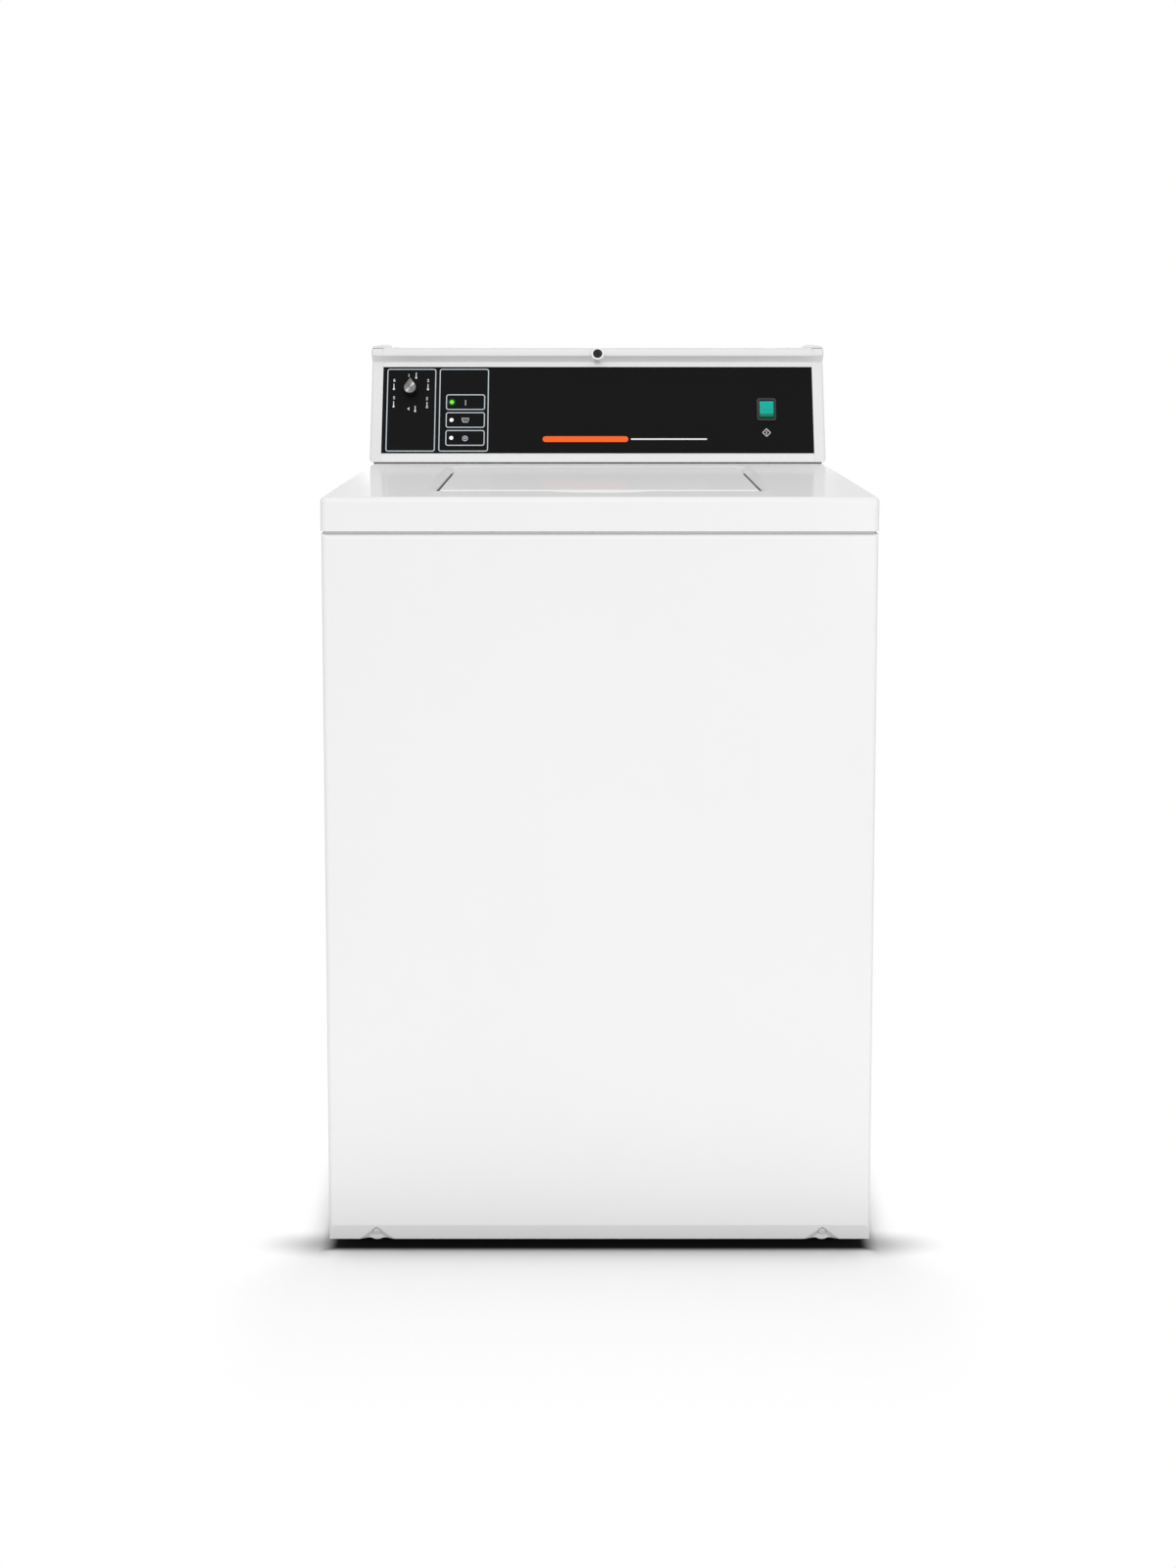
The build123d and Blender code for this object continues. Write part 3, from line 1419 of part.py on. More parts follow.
with BuildPart() as transmission:
    case_middle = (case_bottom + case_top - case_flange) / 2
    with BuildSketch(tub_plane):
        straight_outline(
            (0, pulley_bottom),
            (input_radius, pulley_bottom),
            (input_radius, case_bottom),
            (case_radius - case_shoulder, case_bottom),
            (case_radius, case_bottom + case_shoulder),
            (case_radius, case_middle),
            (case_flange_radius, case_middle),
            (case_flange_radius, case_middle + case_flange),
            (case_radius, case_middle + case_flange),
            (case_radius, case_top - case_shoulder),
            (case_radius - case_shoulder, case_top),
            (0, case_top),
        )
    revolve(axis=tub_axis)
transmission.part.label = "transmission"
export_step(transmission.part, "parts/transmission.step")

with BuildPart() as drive_pulley:
    pulley_middle = pulley_bottom + pulley_height / 2
    with BuildSketch(tub_plane):
        straight_outline(
            (input_radius, pulley_bottom),
            (2 * input_radius, pulley_bottom),
            (2 * input_radius, pulley_middle - pulley_web / 2),
            (drive_pulley_radius - pulley_rim, pulley_middle - pulley_web / 2),
            (drive_pulley_radius - pulley_rim, pulley_bottom),
            (drive_pulley_radius + groove_depth, pulley_bottom),
            (drive_pulley_radius, pulley_bottom + belt_lift),
            (drive_pulley_radius, pulley_bottom + pulley_height - belt_lift),
            (drive_pulley_radius + groove_depth, pulley_bottom + pulley_height),
            (drive_pulley_radius - pulley_rim, pulley_bottom + pulley_height),
            (drive_pulley_radius - pulley_rim, pulley_middle + pulley_web / 2),
            (2 * input_radius, pulley_middle + pulley_web / 2),
            (2 * input_radius, pulley_bottom + pulley_height),
            (input_radius, pulley_bottom + pulley_height),
        )
    revolve(axis=tub_axis)
drive_pulley.part.label = "drive_pulley"
export_step(drive_pulley.part, "parts/drive_pulley.step")

# Agitator with twisted vanes, its cap and its shaft
with BuildPart() as one_vane:
    levels = (
        (skirt_bottom_z + agitator_wall, skirt_radius - agitator_wall, 0),
        ((skirt_bottom_z + skirt_top) / 2, vane_middle_reach, vane_twist / 2),
        (skirt_top, vane_upper_reach, vane_twist),
        (column_top - cap_height, column_radius + agitator_wall, 2 * vane_twist),
    )
    for level, reach, turn in levels:
        with BuildSketch(Plane((0, tub_y, level), x_dir=Vector(1, 0, 0).rotate(Axis.Z, turn))):
            with Locations((reach / 2, 0)):
                SlotOverall(reach, vane_thickness)
    loft()

with BuildPart() as agitator:
    with BuildSketch(tub_plane):
        with BuildLine() as agitator_side:
            Line((skirt_radius, skirt_bottom_z), (skirt_radius, skirt_bottom_z + agitator_wall))
            Spline(
                (skirt_radius, skirt_bottom_z + agitator_wall),
                (column_radius, skirt_top),
                tangents=((-1, skirt_slope), (-column_slope, 1)),
            )
            Line((column_radius, skirt_top), (column_top_radius, column_top))
            Line((column_top_radius, column_top), (0, column_top))
            Line((0, column_top), (0, skirt_bottom_z))
            Line((0, skirt_bottom_z), (skirt_radius, skirt_bottom_z))
        make_face()
    revolve(axis=tub_axis)
    for quarter in range(vane_count):
        add(one_vane.part.rotate(tub_axis, quarter * 360 / vane_count))
    with BuildSketch(tub_plane):
        with BuildLine() as agitator_hollow:
            hollow_top = agitator_shaft_top - socket_height
            Line((skirt_radius - agitator_wall, skirt_bottom_z), (0, skirt_bottom_z))
            Line((0, skirt_bottom_z), (0, hollow_top))
            Line((0, hollow_top), (column_top_radius - agitator_wall, hollow_top))
            Line((column_top_radius - agitator_wall, hollow_top), (column_radius - agitator_wall, skirt_top))
            Spline(
                (column_radius - agitator_wall, skirt_top),
                (skirt_radius - agitator_wall, skirt_bottom_z),
                tangents=((column_slope, -1), (1, -skirt_slope)),
            )
        make_face()
    revolve(axis=tub_axis, mode=Mode.SUBTRACT)
    with Locations((0, tub_y, agitator_shaft_top)):
        Cylinder(agitator_shaft_radius, 4 * socket_height, mode=Mode.SUBTRACT)
        Cylinder(
            column_top_radius - agitator_wall,
            column_top,
            align=(Align.CENTER, Align.CENTER, Align.MIN),
            mode=Mode.SUBTRACT,
        )
agitator.part.label = "agitator"
export_step(agitator.part, "parts/agitator.step")

with BuildPart() as agitator_cap:
    with Locations((0, tub_y, column_top)):
        Cylinder(
            column_top_radius - agitator_wall, cap_plug, align=(Align.CENTER, Align.CENTER, Align.MAX)
        )
        Cone(
            column_top_radius,
            cap_crown_radius,
            cap_height,
            align=(Align.CENTER, Align.CENTER, Align.MIN),
        )
    fillet(agitator_cap.edges().group_by(Axis.Z)[-1], cap_edge)
agitator_cap.part.label = "agitator_cap"
export_step(agitator_cap.part, "parts/agitator_cap.step")

with BuildPart() as agitator_shaft:
    with Locations((0, tub_y, case_top + play)):
        Cylinder(
            agitator_shaft_radius,
            agitator_shaft_top - case_top - play,
            align=(Align.CENTER, Align.CENTER, Align.MIN),
        )
agitator_shaft.part.label = "agitator_shaft"
export_step(agitator_shaft.part, "parts/agitator_shaft.step")

# Motor: case, and the shaft with its two-groove pulley
motor_axis = Axis((motor_x, motor_y, 0), (0, 0, 1))
motor_plane = Plane(origin=(motor_x, motor_y, 0), x_dir=(1, 0, 0), z_dir=(0, -1, 0))
motor_top = plate_top + motor_height
with BuildPart() as motor:
    with BuildSketch(motor_plane):
        straight_outline(
            (motor_shaft_radius + shaft_fit, plate_top),
            (motor_end_radius, plate_top),
            (motor_end_radius, plate_top + motor_end),
            (motor_radius, plate_top + motor_end),
            (motor_radius, motor_top - motor_end),
            (motor_end_radius, motor_top),
            (motor_shaft_radius + shaft_fit, motor_top),
        )
    revolve(axis=motor_axis)
motor.part.label = "motor"
export_step(motor.part, "parts/motor.step")

with BuildPart() as motor_pulley:
    pump_level_top = pump_pulley_bottom + pump_pulley_height
    pulley_top = pulley_bottom + pulley_height
    with BuildSketch(motor_plane):
        straight_outline(
            (0, pump_pulley_bottom),
            (pump_groove_radius + groove_depth, pump_pulley_bottom),
            (pump_groove_radius, pump_pulley_bottom + pump_belt_lift),
            (pump_groove_radius, pump_level_top - pump_belt_lift),
            (pump_groove_radius + groove_depth, pump_level_top),
            (motor_pulley_radius + groove_depth, pulley_bottom),
            (motor_pulley_radius, pulley_bottom + belt_lift),
            (motor_pulley_radius, pulley_top - belt_lift),
            (motor_pulley_radius + groove_depth, pulley_top),
            (motor_shaft_radius, pulley_top),
            (motor_shaft_radius, motor_top),
            (0, motor_top),
        )
    revolve(axis=motor_axis)
motor_pulley.part.label = "motor_pulley"
export_step(motor_pulley.part, "parts/motor_pulley.step")

# Pump: housing, shaft with impeller and pulley
pump_axis = Axis((pump_x, pump_y, 0), (0, 0, 1))
pump_plane = Plane(origin=(pump_x, pump_y, 0), x_dir=(1, 0, 0), z_dir=(0, -1, 0))
pump_top = plate_top + pump_height
with BuildPart() as pump:
    with BuildSketch(pump_plane):
        straight_outline(
            (pump_shaft_radius + shaft_fit, plate_top),
            (pump_radius, plate_top),
            (pump_radius, pump_top),
            (sump_spigot, pump_top),
            (sump_spigot, pump_top + pump_inlet_height),
            (sump_spigot - tub_wall, pump_top + pump_inlet_height),
            (sump_spigot - tub_wall, pump_top - pump_wall),
            (pump_radius - pump_wall, pump_top - pump_wall),
            (pump_radius - pump_wall, plate_top + pump_wall),
            (pump_shaft_radius + shaft_fit, plate_top + pump_wall),
        )
    revolve(axis=pump_axis)
    outlet_z = plate_top + pump_height / 2
    outlet_start = pump_x - pump_radius + pump_wall
    with BuildSketch(Plane.YZ.offset(outlet_start)):
        with Locations((pump_y, outlet_z)):
            Circle(sump_spigot)
    extrude(amount=-pump_outlet_length - pump_wall)
    with BuildSketch(Plane.YZ.offset(outlet_start + pump_wall)):
        with Locations((pump_y, outlet_z)):
            Circle(sump_spigot - tub_wall)
    extrude(amount=-pump_outlet_length - 3 * pump_wall, mode=Mode.SUBTRACT)
pump.part.label = "pump"
export_step(pump.part, "parts/pump.step")

with BuildPart() as pump_impeller:
    impeller_bottom = plate_top + 2 * pump_wall
    with Locations((pump_x, pump_y, pump_pulley_bottom)):
        Cylinder(
            pump_shaft_radius,
            impeller_bottom - pump_pulley_bottom,
            align=(Align.CENTER, Align.CENTER, Align.MIN),
        )
    with BuildSketch(Plane.XY.offset(impeller_bottom)):
        with Locations((pump_x, pump_y)):
            Circle(2 * pump_shaft_radius)
            with PolarLocations(0, 3):
                SlotOverall(2 * impeller_radius, pump_wall)
    extrude(amount=impeller_height)
pump_impeller.part.label = "pump_impeller"
export_step(pump_impeller.part, "parts/pump_impeller.step")

with BuildPart() as pump_pulley:
    with BuildSketch(pump_plane):
        straight_outline(
            (pump_shaft_radius, pump_pulley_bottom),
            (pump_pulley_radius + groove_depth, pump_pulley_bottom),
            (pump_pulley_radius, pump_pulley_bottom + pump_belt_lift),
            (pump_pulley_radius, pump_level_top - pump_belt_lift),
            (pump_pulley_radius + groove_depth, pump_level_top),
            (pump_shaft_radius, pump_level_top),
        )
    revolve(axis=pump_axis)
pump_pulley.part.label = "pump_pulley"
export_step(pump_pulley.part, "parts/pump_pulley.step")

# Belts
with BuildPart() as drive_belt:
    add(
        belt_loop(
            pulley_bottom + belt_lift,
            (0, tub_y),
            drive_pulley_radius + play,
            (motor_x, motor_y),
            motor_pulley_radius + play,
            belt_thickness,
        )
    )
drive_belt.part.label = "drive_belt"
export_step(drive_belt.part, "parts/drive_belt.step")

with BuildPart() as pump_belt:
    add(
        belt_loop(
            pump_pulley_bottom + pump_belt_lift,
            (pump_x, pump_y),
            pump_pulley_radius + play,
            (motor_x, motor_y),
            pump_groove_radius + play,
            belt_thickness,
        )
    )
pump_belt.part.label = "pump_belt"
export_step(pump_belt.part, "parts/pump_belt.step")

# Hoses: tub to pump, and pump to the drain spigot in the rear tray
with BuildPart() as sump_hose:
    hose_bottom = pump_top
    hose_top = tub_bottom
    with BuildSketch(pump_plane):
        straight_outline(
            (sump_spigot, hose_bottom),
            (sump_spigot + hose_wall, hose_bottom),
            (sump_spigot + hose_wall, hose_top),
            (sump_spigot, hose_top),
        )
    revolve(axis=pump_axis)
sump_hose.part.label = "sump_hose"
export_step(sump_hose.part, "parts/sump_hose.step")

hose_end = pump_x - pump_radius - pump_outlet_length
drain_run_x = -(base_width / 2 - 3 * spigot_radius)
drain_run_y = tray_inside - 6 * spigot_radius
drain_hose_end = back - inlet_recess - tray_depth - spigot_radius
with BuildPart() as drain_hose:
    with BuildLine() as drain_path:
        FilletPolyline(
            (hose_end, pump_y, outlet_z),
            (drain_run_x, pump_y, outlet_z),
            (drain_run_x, drain_run_y, outlet_z),
            (drain_x, drain_run_y, tray_z),
            (drain_x, drain_hose_end, tray_z),
            radius=hose_bend,
        )
    with BuildSketch(Plane(origin=drain_path.line @ 0, z_dir=drain_path.line % 0)):
        Circle(sump_spigot)
        Circle(sump_spigot - hose_wall, mode=Mode.SUBTRACT)
    sweep()
drain_hose.part.label = "drain_hose"
export_step(drain_hose.part, "parts/drain_hose.step")
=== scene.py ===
import json
import math

import bmesh
import bpy
from bpy.props import FloatProperty, FloatVectorProperty, IntProperty, PointerProperty
from mathutils import Matrix, Vector


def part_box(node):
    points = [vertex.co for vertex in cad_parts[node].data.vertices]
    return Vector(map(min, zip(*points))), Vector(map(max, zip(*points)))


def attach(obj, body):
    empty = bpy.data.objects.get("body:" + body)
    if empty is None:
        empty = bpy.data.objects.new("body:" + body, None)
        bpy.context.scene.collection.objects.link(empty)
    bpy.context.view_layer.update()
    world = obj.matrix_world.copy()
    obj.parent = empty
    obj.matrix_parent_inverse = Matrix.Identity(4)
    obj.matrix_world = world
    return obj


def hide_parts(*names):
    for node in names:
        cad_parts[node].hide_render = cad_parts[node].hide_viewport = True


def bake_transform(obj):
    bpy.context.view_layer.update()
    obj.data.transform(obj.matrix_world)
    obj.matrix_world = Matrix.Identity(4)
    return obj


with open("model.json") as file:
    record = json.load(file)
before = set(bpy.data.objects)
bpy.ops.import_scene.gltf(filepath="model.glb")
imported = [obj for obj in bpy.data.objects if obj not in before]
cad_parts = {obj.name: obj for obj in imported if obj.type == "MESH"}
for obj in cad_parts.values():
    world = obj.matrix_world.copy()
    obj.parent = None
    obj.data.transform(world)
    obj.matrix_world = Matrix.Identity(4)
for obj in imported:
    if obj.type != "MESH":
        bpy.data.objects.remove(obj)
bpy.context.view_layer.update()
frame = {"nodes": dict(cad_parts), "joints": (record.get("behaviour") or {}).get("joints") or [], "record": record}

bl_info = {
    "name": "Top load washer",
    "version": (1, 0, 0),
    "blender": (4, 5, 0),
    "location": "View3D > Sidebar > Washer",
    "description": "Dresses the CAD frame of a top load washing machine",
    "category": "Object",
}

NODES = frame["nodes"]
JOINTS = {joint["name"]: joint for joint in frame["joints"]}
MOUNTS = {mount["name"]: mount for mount in frame["record"]["mounts"]}

# The hood face, from the selector's joint: its pin stands square on the face.
# Places on it are given across from the machine's middle and up from the face's foot.
FACE_OUT = Vector(JOINTS["selector_turn"]["axis"])
FACE_ACROSS = Vector((1, 0, 0))
FACE_UP = FACE_OUT.cross(FACE_ACROSS)
KNOB_PIN = Vector(JOINTS["selector_turn"]["pos_m"])
KNOB_RISE = 0.106
START_AT = (0.2421, 0.078)
LAMP_ACROSS = -0.2093
LAMPS_UP = {"lamp_in_use": 0.0894, "lamp_rinse": 0.0626, "lamp_spin": 0.0358}

# Thickness of the hood's film and of the print on it
FILM = 0.0006
INK = 0.00005

# A lamp's lens and the painted glow round the lit one
LAMP_RADIUS = 0.0028
GLOW_RADIUS = 2.1 * LAMP_RADIUS

# The start rocker: half its height, and how far its ridge lies below its middle
ROCKER_HALF = 0.013
ROCKER_RIDGE = 0.007

# The tub's upright axis
TUB_AXIS = Vector(JOINTS["basket_spin"]["pos_m"])

# Corners of a mesh that are closer than this are one
MERGE = 0.000002

# Noise seldom leaves this part of its range
NOISE_LOW, NOISE_HIGH = 0.3, 0.7


def colour_prop(label, about, value):
    return FloatVectorProperty(
        name=label, description=about, subtype="COLOR", size=3, min=0, max=1, default=value
    )


def length_prop(label, about, value):
    return FloatProperty(name=label, description=about, unit="LENGTH", min=0, default=value)


def power_prop(label, about, value):
    return FloatProperty(name=label, description=about, subtype="POWER", min=0, default=value)


class WasherFinishes(bpy.types.PropertyGroup):
    """Colours of the machine"""

    enamel: colour_prop("Enamel", "White enamel of the cabinet, deck and lid", (0.80, 0.80, 0.80))
    hood: colour_prop("Hood", "White of the hood's frame", (0.765, 0.765, 0.765))
    film: colour_prop("Film", "Black film on the hood face", (0.0052, 0.0052, 0.0058))
    line: colour_prop("Line", "Printed frames and marks", (0.50, 0.56, 0.60))
    stripe: colour_prop("Stripe", "Orange stripe in the middle of the film", (1.0, 0.135, 0.022))
    start: colour_prop("Start", "Green of the start rocker", (0.010, 0.40, 0.31))
    lit: colour_prop("Lit lamp", "Green of the lamp that is on", (0.145, 0.58, 0.002))


class WasherPrint(bpy.types.PropertyGroup):
    """Sizes of the print on the hood face"""

    line: length_prop("Line", "Width of the printed frames", 0.0014)
    corner: length_prop("Corner", "Corner radius of the printed frames", 0.0036)
    digit: length_prop("Digit", "Height of the dial numbers", 0.0062)
    bulb: length_prop("Bulb", "Radius of a thermometer's bulb", 0.0015)


class WasherBasket(bpy.types.PropertyGroup):
    """The perforated basket"""

    columns: IntProperty(
        name="Columns", description="Places for holes round the wall", min=24, max=120, default=72
    )
    rows: IntProperty(
        name="Rows", description="Places for holes up the wall", min=6, max=30, default=16
    )
    hole: length_prop("Hole", "Width of a hole before it is rounded", 0.0092)


class WasherStage(bpy.types.PropertyGroup):
    """Camera and light"""

    eye: FloatVectorProperty(
        name="Eye", description="Where the camera stands", subtype="TRANSLATION",
        default=(-0.0138, -2.65, 1.1225),
    )
    tilt: FloatProperty(
        name="Tilt", description="How far the camera looks down", subtype="ANGLE",
        default=math.radians(5.1),
    )
    lens: FloatProperty(
        name="Lens", description="Focal length in millimetres", unit="CAMERA", min=1, default=45.6
    )
    rise: FloatProperty(name="Rise", description="Vertical shift of the lens", default=-0.185)
    paper: FloatProperty(
        name="Paper", description="How white the floor near the machine looks", subtype="FACTOR",
        min=0, max=1, default=0.94,
    )
    sky: FloatProperty(name="Sky", description="Strength of the even light all round", default=0.86)
    key: power_prop("Key", "Power of the large front light", 40.0)
    fill: power_prop("Fill", "Power of the light from the right", 16.0)
    rear: power_prop("Rear", "Power of the light behind", 36.0)


# Nodes of a material


def node_of(tree, kind, **sockets):
    """A new node with the given input values."""
    node = tree.nodes.new(kind)
    for name, value in sockets.items():
        node.inputs[name.replace("_", " ")].default_value = value
    return node


def arithmetic(tree, operation, *values):
    """One step of arithmetic on numbers or other nodes' results."""
    node = tree.nodes.new("ShaderNodeMath")
    node.operation = operation
    for socket, value in zip(node.inputs, values):
        if isinstance(value, (int, float)):
            socket.default_value = value
        else:
            tree.links.new(value, socket)
    return node.outputs["Value"]


def distance(tree, vector):
    """The length of a vector."""
    node = tree.nodes.new("ShaderNodeVectorMath")
    node.operation = "LENGTH"
    tree.links.new(vector, node.inputs[0])
    return node.outputs["Value"]


def reach(tree, *values):
    """The length of up to three values at right angles."""
    gather = tree.nodes.new("ShaderNodeCombineXYZ")
    for socket, value in zip(gather.inputs, values):
        tree.links.new(value, socket)
    return distance(tree, gather.outputs["Vector"])


def span(tree, source, start, end, low=0.0, high=1.0, smooth=False):
    """Turns a value from low to high between start and end."""
    node = node_of(tree, "ShaderNodeMapRange", From_Min=start, From_Max=end, To_Min=low, To_Max=high)
    if smooth:
        node.interpolation_type = "SMOOTHSTEP"
    tree.links.new(source, node.inputs["Value"])
    return node.outputs["Result"]


def ramp_of(tree, source, *stops):
    """A colour ramp through (position, colour) stops."""
    ramp = tree.nodes.new("ShaderNodeValToRGB")
    elements = ramp.color_ramp.elements
    while len(elements) < len(stops):
        elements.new(0.5)
    for element, (position, colour) in zip(elements, stops):
        element.position = position
        element.color = (*colour, 1)
    tree.links.new(source, ramp.inputs["Fac"])
    return ramp.outputs["Color"]


def coordinates(tree, stretch=(1, 1, 1)):
    """Object coordinates, stretched."""
    place = tree.nodes.new("ShaderNodeTexCoord")
    mapping = node_of(tree, "ShaderNodeMapping", Scale=stretch)
    tree.links.new(place.outputs["Object"], mapping.inputs["Vector"])
    return mapping.outputs["Vector"]


def face_coordinates(tree, across, up):
    """Coordinates on the hood face, across, up and out from a point on it."""
    place = tree.nodes.new("ShaderNodeTexCoord")
    turn = tree.nodes.new("ShaderNodeMapping")
    turn.vector_type = "TEXTURE"
    frame_there = on_face(across, up, 0)
    turn.inputs["Location"].default_value = frame_there.translation
    turn.inputs["Rotation"].default_value = frame_there.to_euler()
    tree.links.new(place.outputs["Object"], turn.inputs["Vector"])
    return turn.outputs["Vector"]


def noise(tree, vector, scale, detail=2.0):
    """Soft noise, 0 to 1."""
    texture = node_of(tree, "ShaderNodeTexNoise", Scale=scale, Detail=detail)
    tree.links.new(vector, texture.inputs["Vector"])
    return texture.outputs["Fac"]


def raise_grain(tree, shader, height, strength, depth):
    """Gives a shader the bumps of a height."""
    bump = node_of(tree, "ShaderNodeBump", Strength=strength, Distance=depth)
    tree.links.new(height, bump.inputs["Height"])
    tree.links.new(bump.outputs["Normal"], shader.inputs["Normal"])


def mixed(tree, share, first, second):
    """Blends two shaders, the first at 0 and the second at 1."""
    mix = tree.nodes.new("ShaderNodeMixShader")
    tree.links.new(share, mix.inputs["Fac"])
    tree.links.new(first, mix.inputs[1])
    tree.links.new(second, mix.inputs[2])
    return mix.outputs["Shader"]


def straight_rays(tree):
    """Tells the rays that show the backdrop: the camera's own, and those off metal or through glass."""
    path = tree.nodes.new("ShaderNodeLightPath").outputs
    bent = arithmetic(tree, "MAXIMUM", path["Is Glossy Ray"], path["Is Transmission Ray"])
    return arithmetic(tree, "MAXIMUM", path["Is Camera Ray"], bent)


# Finishes


def new_material(name):
    """A new material, its nodes and its shader."""
    made = bpy.data.materials.new(name)
    made.use_nodes = True
    return made, made.node_tree, made.node_tree.nodes["Principled BSDF"]


def recolour(made, colour):
    """Gives a finish another colour node."""
    made.node_tree.links.new(colour, made.node_tree.nodes["Principled BSDF"].inputs["Base Color"])
    return made


def finish(
    name, colour, gloss, metallic=0.0, mottle=0.02, patch=9.0, grain=700.0, depth=0.00002,
    strength=0.25, shine=0.5, coat=0.0, coat_blur=0.03, stretch=(1, 1, 1),
):
    """A finish with slightly uneven colour and gloss, and a fine grain. gloss is the range of roughness."""
    made, tree, shader = new_material(name)
    shader.inputs["Metallic"].default_value = metallic
    shader.inputs["Coat Weight"].default_value = coat
    shader.inputs["Coat Roughness"].default_value = coat_blur
    shader.inputs["Specular IOR Level"].default_value = shine
    where = coordinates(tree, stretch)
    dark = [c * (1 - mottle) for c in colour]
    pale = [min(1.0, c * (1 + mottle)) for c in colour]
    patches = noise(tree, where, patch, 4.0)
    recolour(made, ramp_of(tree, patches, (NOISE_LOW, dark), (NOISE_HIGH, pale)))
    fine = noise(tree, where, grain)
    tree.links.new(span(tree, fine, NOISE_LOW, NOISE_HIGH, *gloss), shader.inputs["Roughness"])
    raise_grain(tree, shader, fine, strength, depth)
    return made


def spun_metal(name):
    """Bright metal turned on a lathe, with two fans of sheen painted into its colour across its centre."""
    made, tree, shader = new_material(name)
    shader.inputs["Metallic"].default_value = 1.0
    where = face_coordinates(tree, KNOB_PIN.x, KNOB_RISE)
    painted_sheen_fan = tree.nodes.new("ShaderNodeTexGradient")
    painted_sheen_fan.gradient_type = "RADIAL"
    tree.links.new(where, painted_sheen_fan.inputs["Vector"])
    # Painted sheen: two bright fans in the base colour, which turn with the knob
    painted_sheen_greys = (
        (0.0, 0.15), (0.085, 0.17), (0.133, 0.52), (0.185, 0.20), (0.34, 0.13), (0.50, 0.16),
        (0.585, 0.17), (0.639, 0.56), (0.695, 0.16), (0.85, 0.11), (1.0, 0.15),
    )
    stops = [(position, (grey, grey * 0.985, grey * 0.97)) for position, grey in painted_sheen_greys]
    recolour(made, ramp_of(tree, painted_sheen_fan.outputs["Fac"], *stops))
    rings = node_of(tree, "ShaderNodeTexWave", Scale=900.0, Distortion=0.4)
    rings.wave_type = "RINGS"
    rings.rings_direction = "Z"
    tree.links.new(where, rings.inputs["Vector"])
    rough = span(tree, rings.outputs["Fac"], NOISE_LOW, NOISE_HIGH, 0.30, 0.42)
    tree.links.new(rough, shader.inputs["Roughness"])
    raise_grain(tree, shader, rings.outputs["Fac"], 0.2, 0.00002)
    return made


def rocker_green(name, colour):
    """Green moulding, painted deeper below the rocker's ridge as shade, with a painted highlight along its top."""
    made = finish(name, colour, (0.25, 0.36), mottle=0.04, patch=300, grain=1600, shine=0.08)
    tree = made.node_tree
    red, green, blue = colour
    split = tree.nodes.new("ShaderNodeSeparateXYZ")
    tree.links.new(face_coordinates(tree, *START_AT), split.inputs["Vector"])
    height = span(tree, split.outputs["Y"], -ROCKER_HALF, ROCKER_HALF)
    ridge = (ROCKER_HALF - ROCKER_RIDGE) / (2 * ROCKER_HALF)
    # Painted shade below the ridge, darker still at the foot, and a painted highlight along the top
    foot = (red * 0.8, green * 0.36, blue * 0.18)
    lower = (red * 0.8, green * 0.50, blue * 0.42)
    top = (red * 1.4, min(1.0, green * 1.22), min(1.0, blue * 1.25))
    stops = (
        (0.02, foot), (0.10, lower), (ridge - 0.02, lower),
        (ridge + 0.02, colour), (0.84, colour), (0.93, top),
    )
    return recolour(made, ramp_of(tree, height, *stops))


def porcelain(name, base, speck):
    """Vitreous enamel with pale specks, as on a washer's tub."""
    made = finish(name, base, (0.18, 0.3), mottle=0.1, patch=14, grain=300)
    tree = made.node_tree
    specks = node_of(tree, "ShaderNodeTexVoronoi", Scale=260.0)
    tree.links.new(coordinates(tree), specks.inputs["Vector"])
    return recolour(made, ramp_of(tree, specks.outputs["Distance"], (0.10, speck), (0.20, base)))


def lamp_lens(name, colour, glow):
    """A lamp's lens: ribbed clear plastic over its light."""
    made = finish(name, colour, (0.18, 0.3), mottle=0.04, patch=500, grain=1500, shine=0.1)
    shader = made.node_tree.nodes["Principled BSDF"]
    # The lens glows in its own colour: real light for the lit lamp, painted light on the unlit lenses
    shader.inputs["Emission Color"].default_value = (*colour, 1)
    shader.inputs["Emission Strength"].default_value = glow
    return made


def lamp_glow(name, across, up, film):
    """The film round a lit lamp, with a painted green glow close to it."""
    made = finish(name, film, (0.4, 0.55), mottle=0.1, patch=600, grain=2000, shine=0.05)
    tree = made.node_tree
    away = span(tree, distance(tree, face_coordinates(tree, across, up)), LAMP_RADIUS, GLOW_RADIUS)
    # Painted glow: green close to the lens, fading into the film
    close, further = (0.006, 0.21, 0.065), (0.007, 0.09, 0.038)
    return recolour(made, ramp_of(tree, away, (0.0, close), (0.5, further), (1.0, film)))


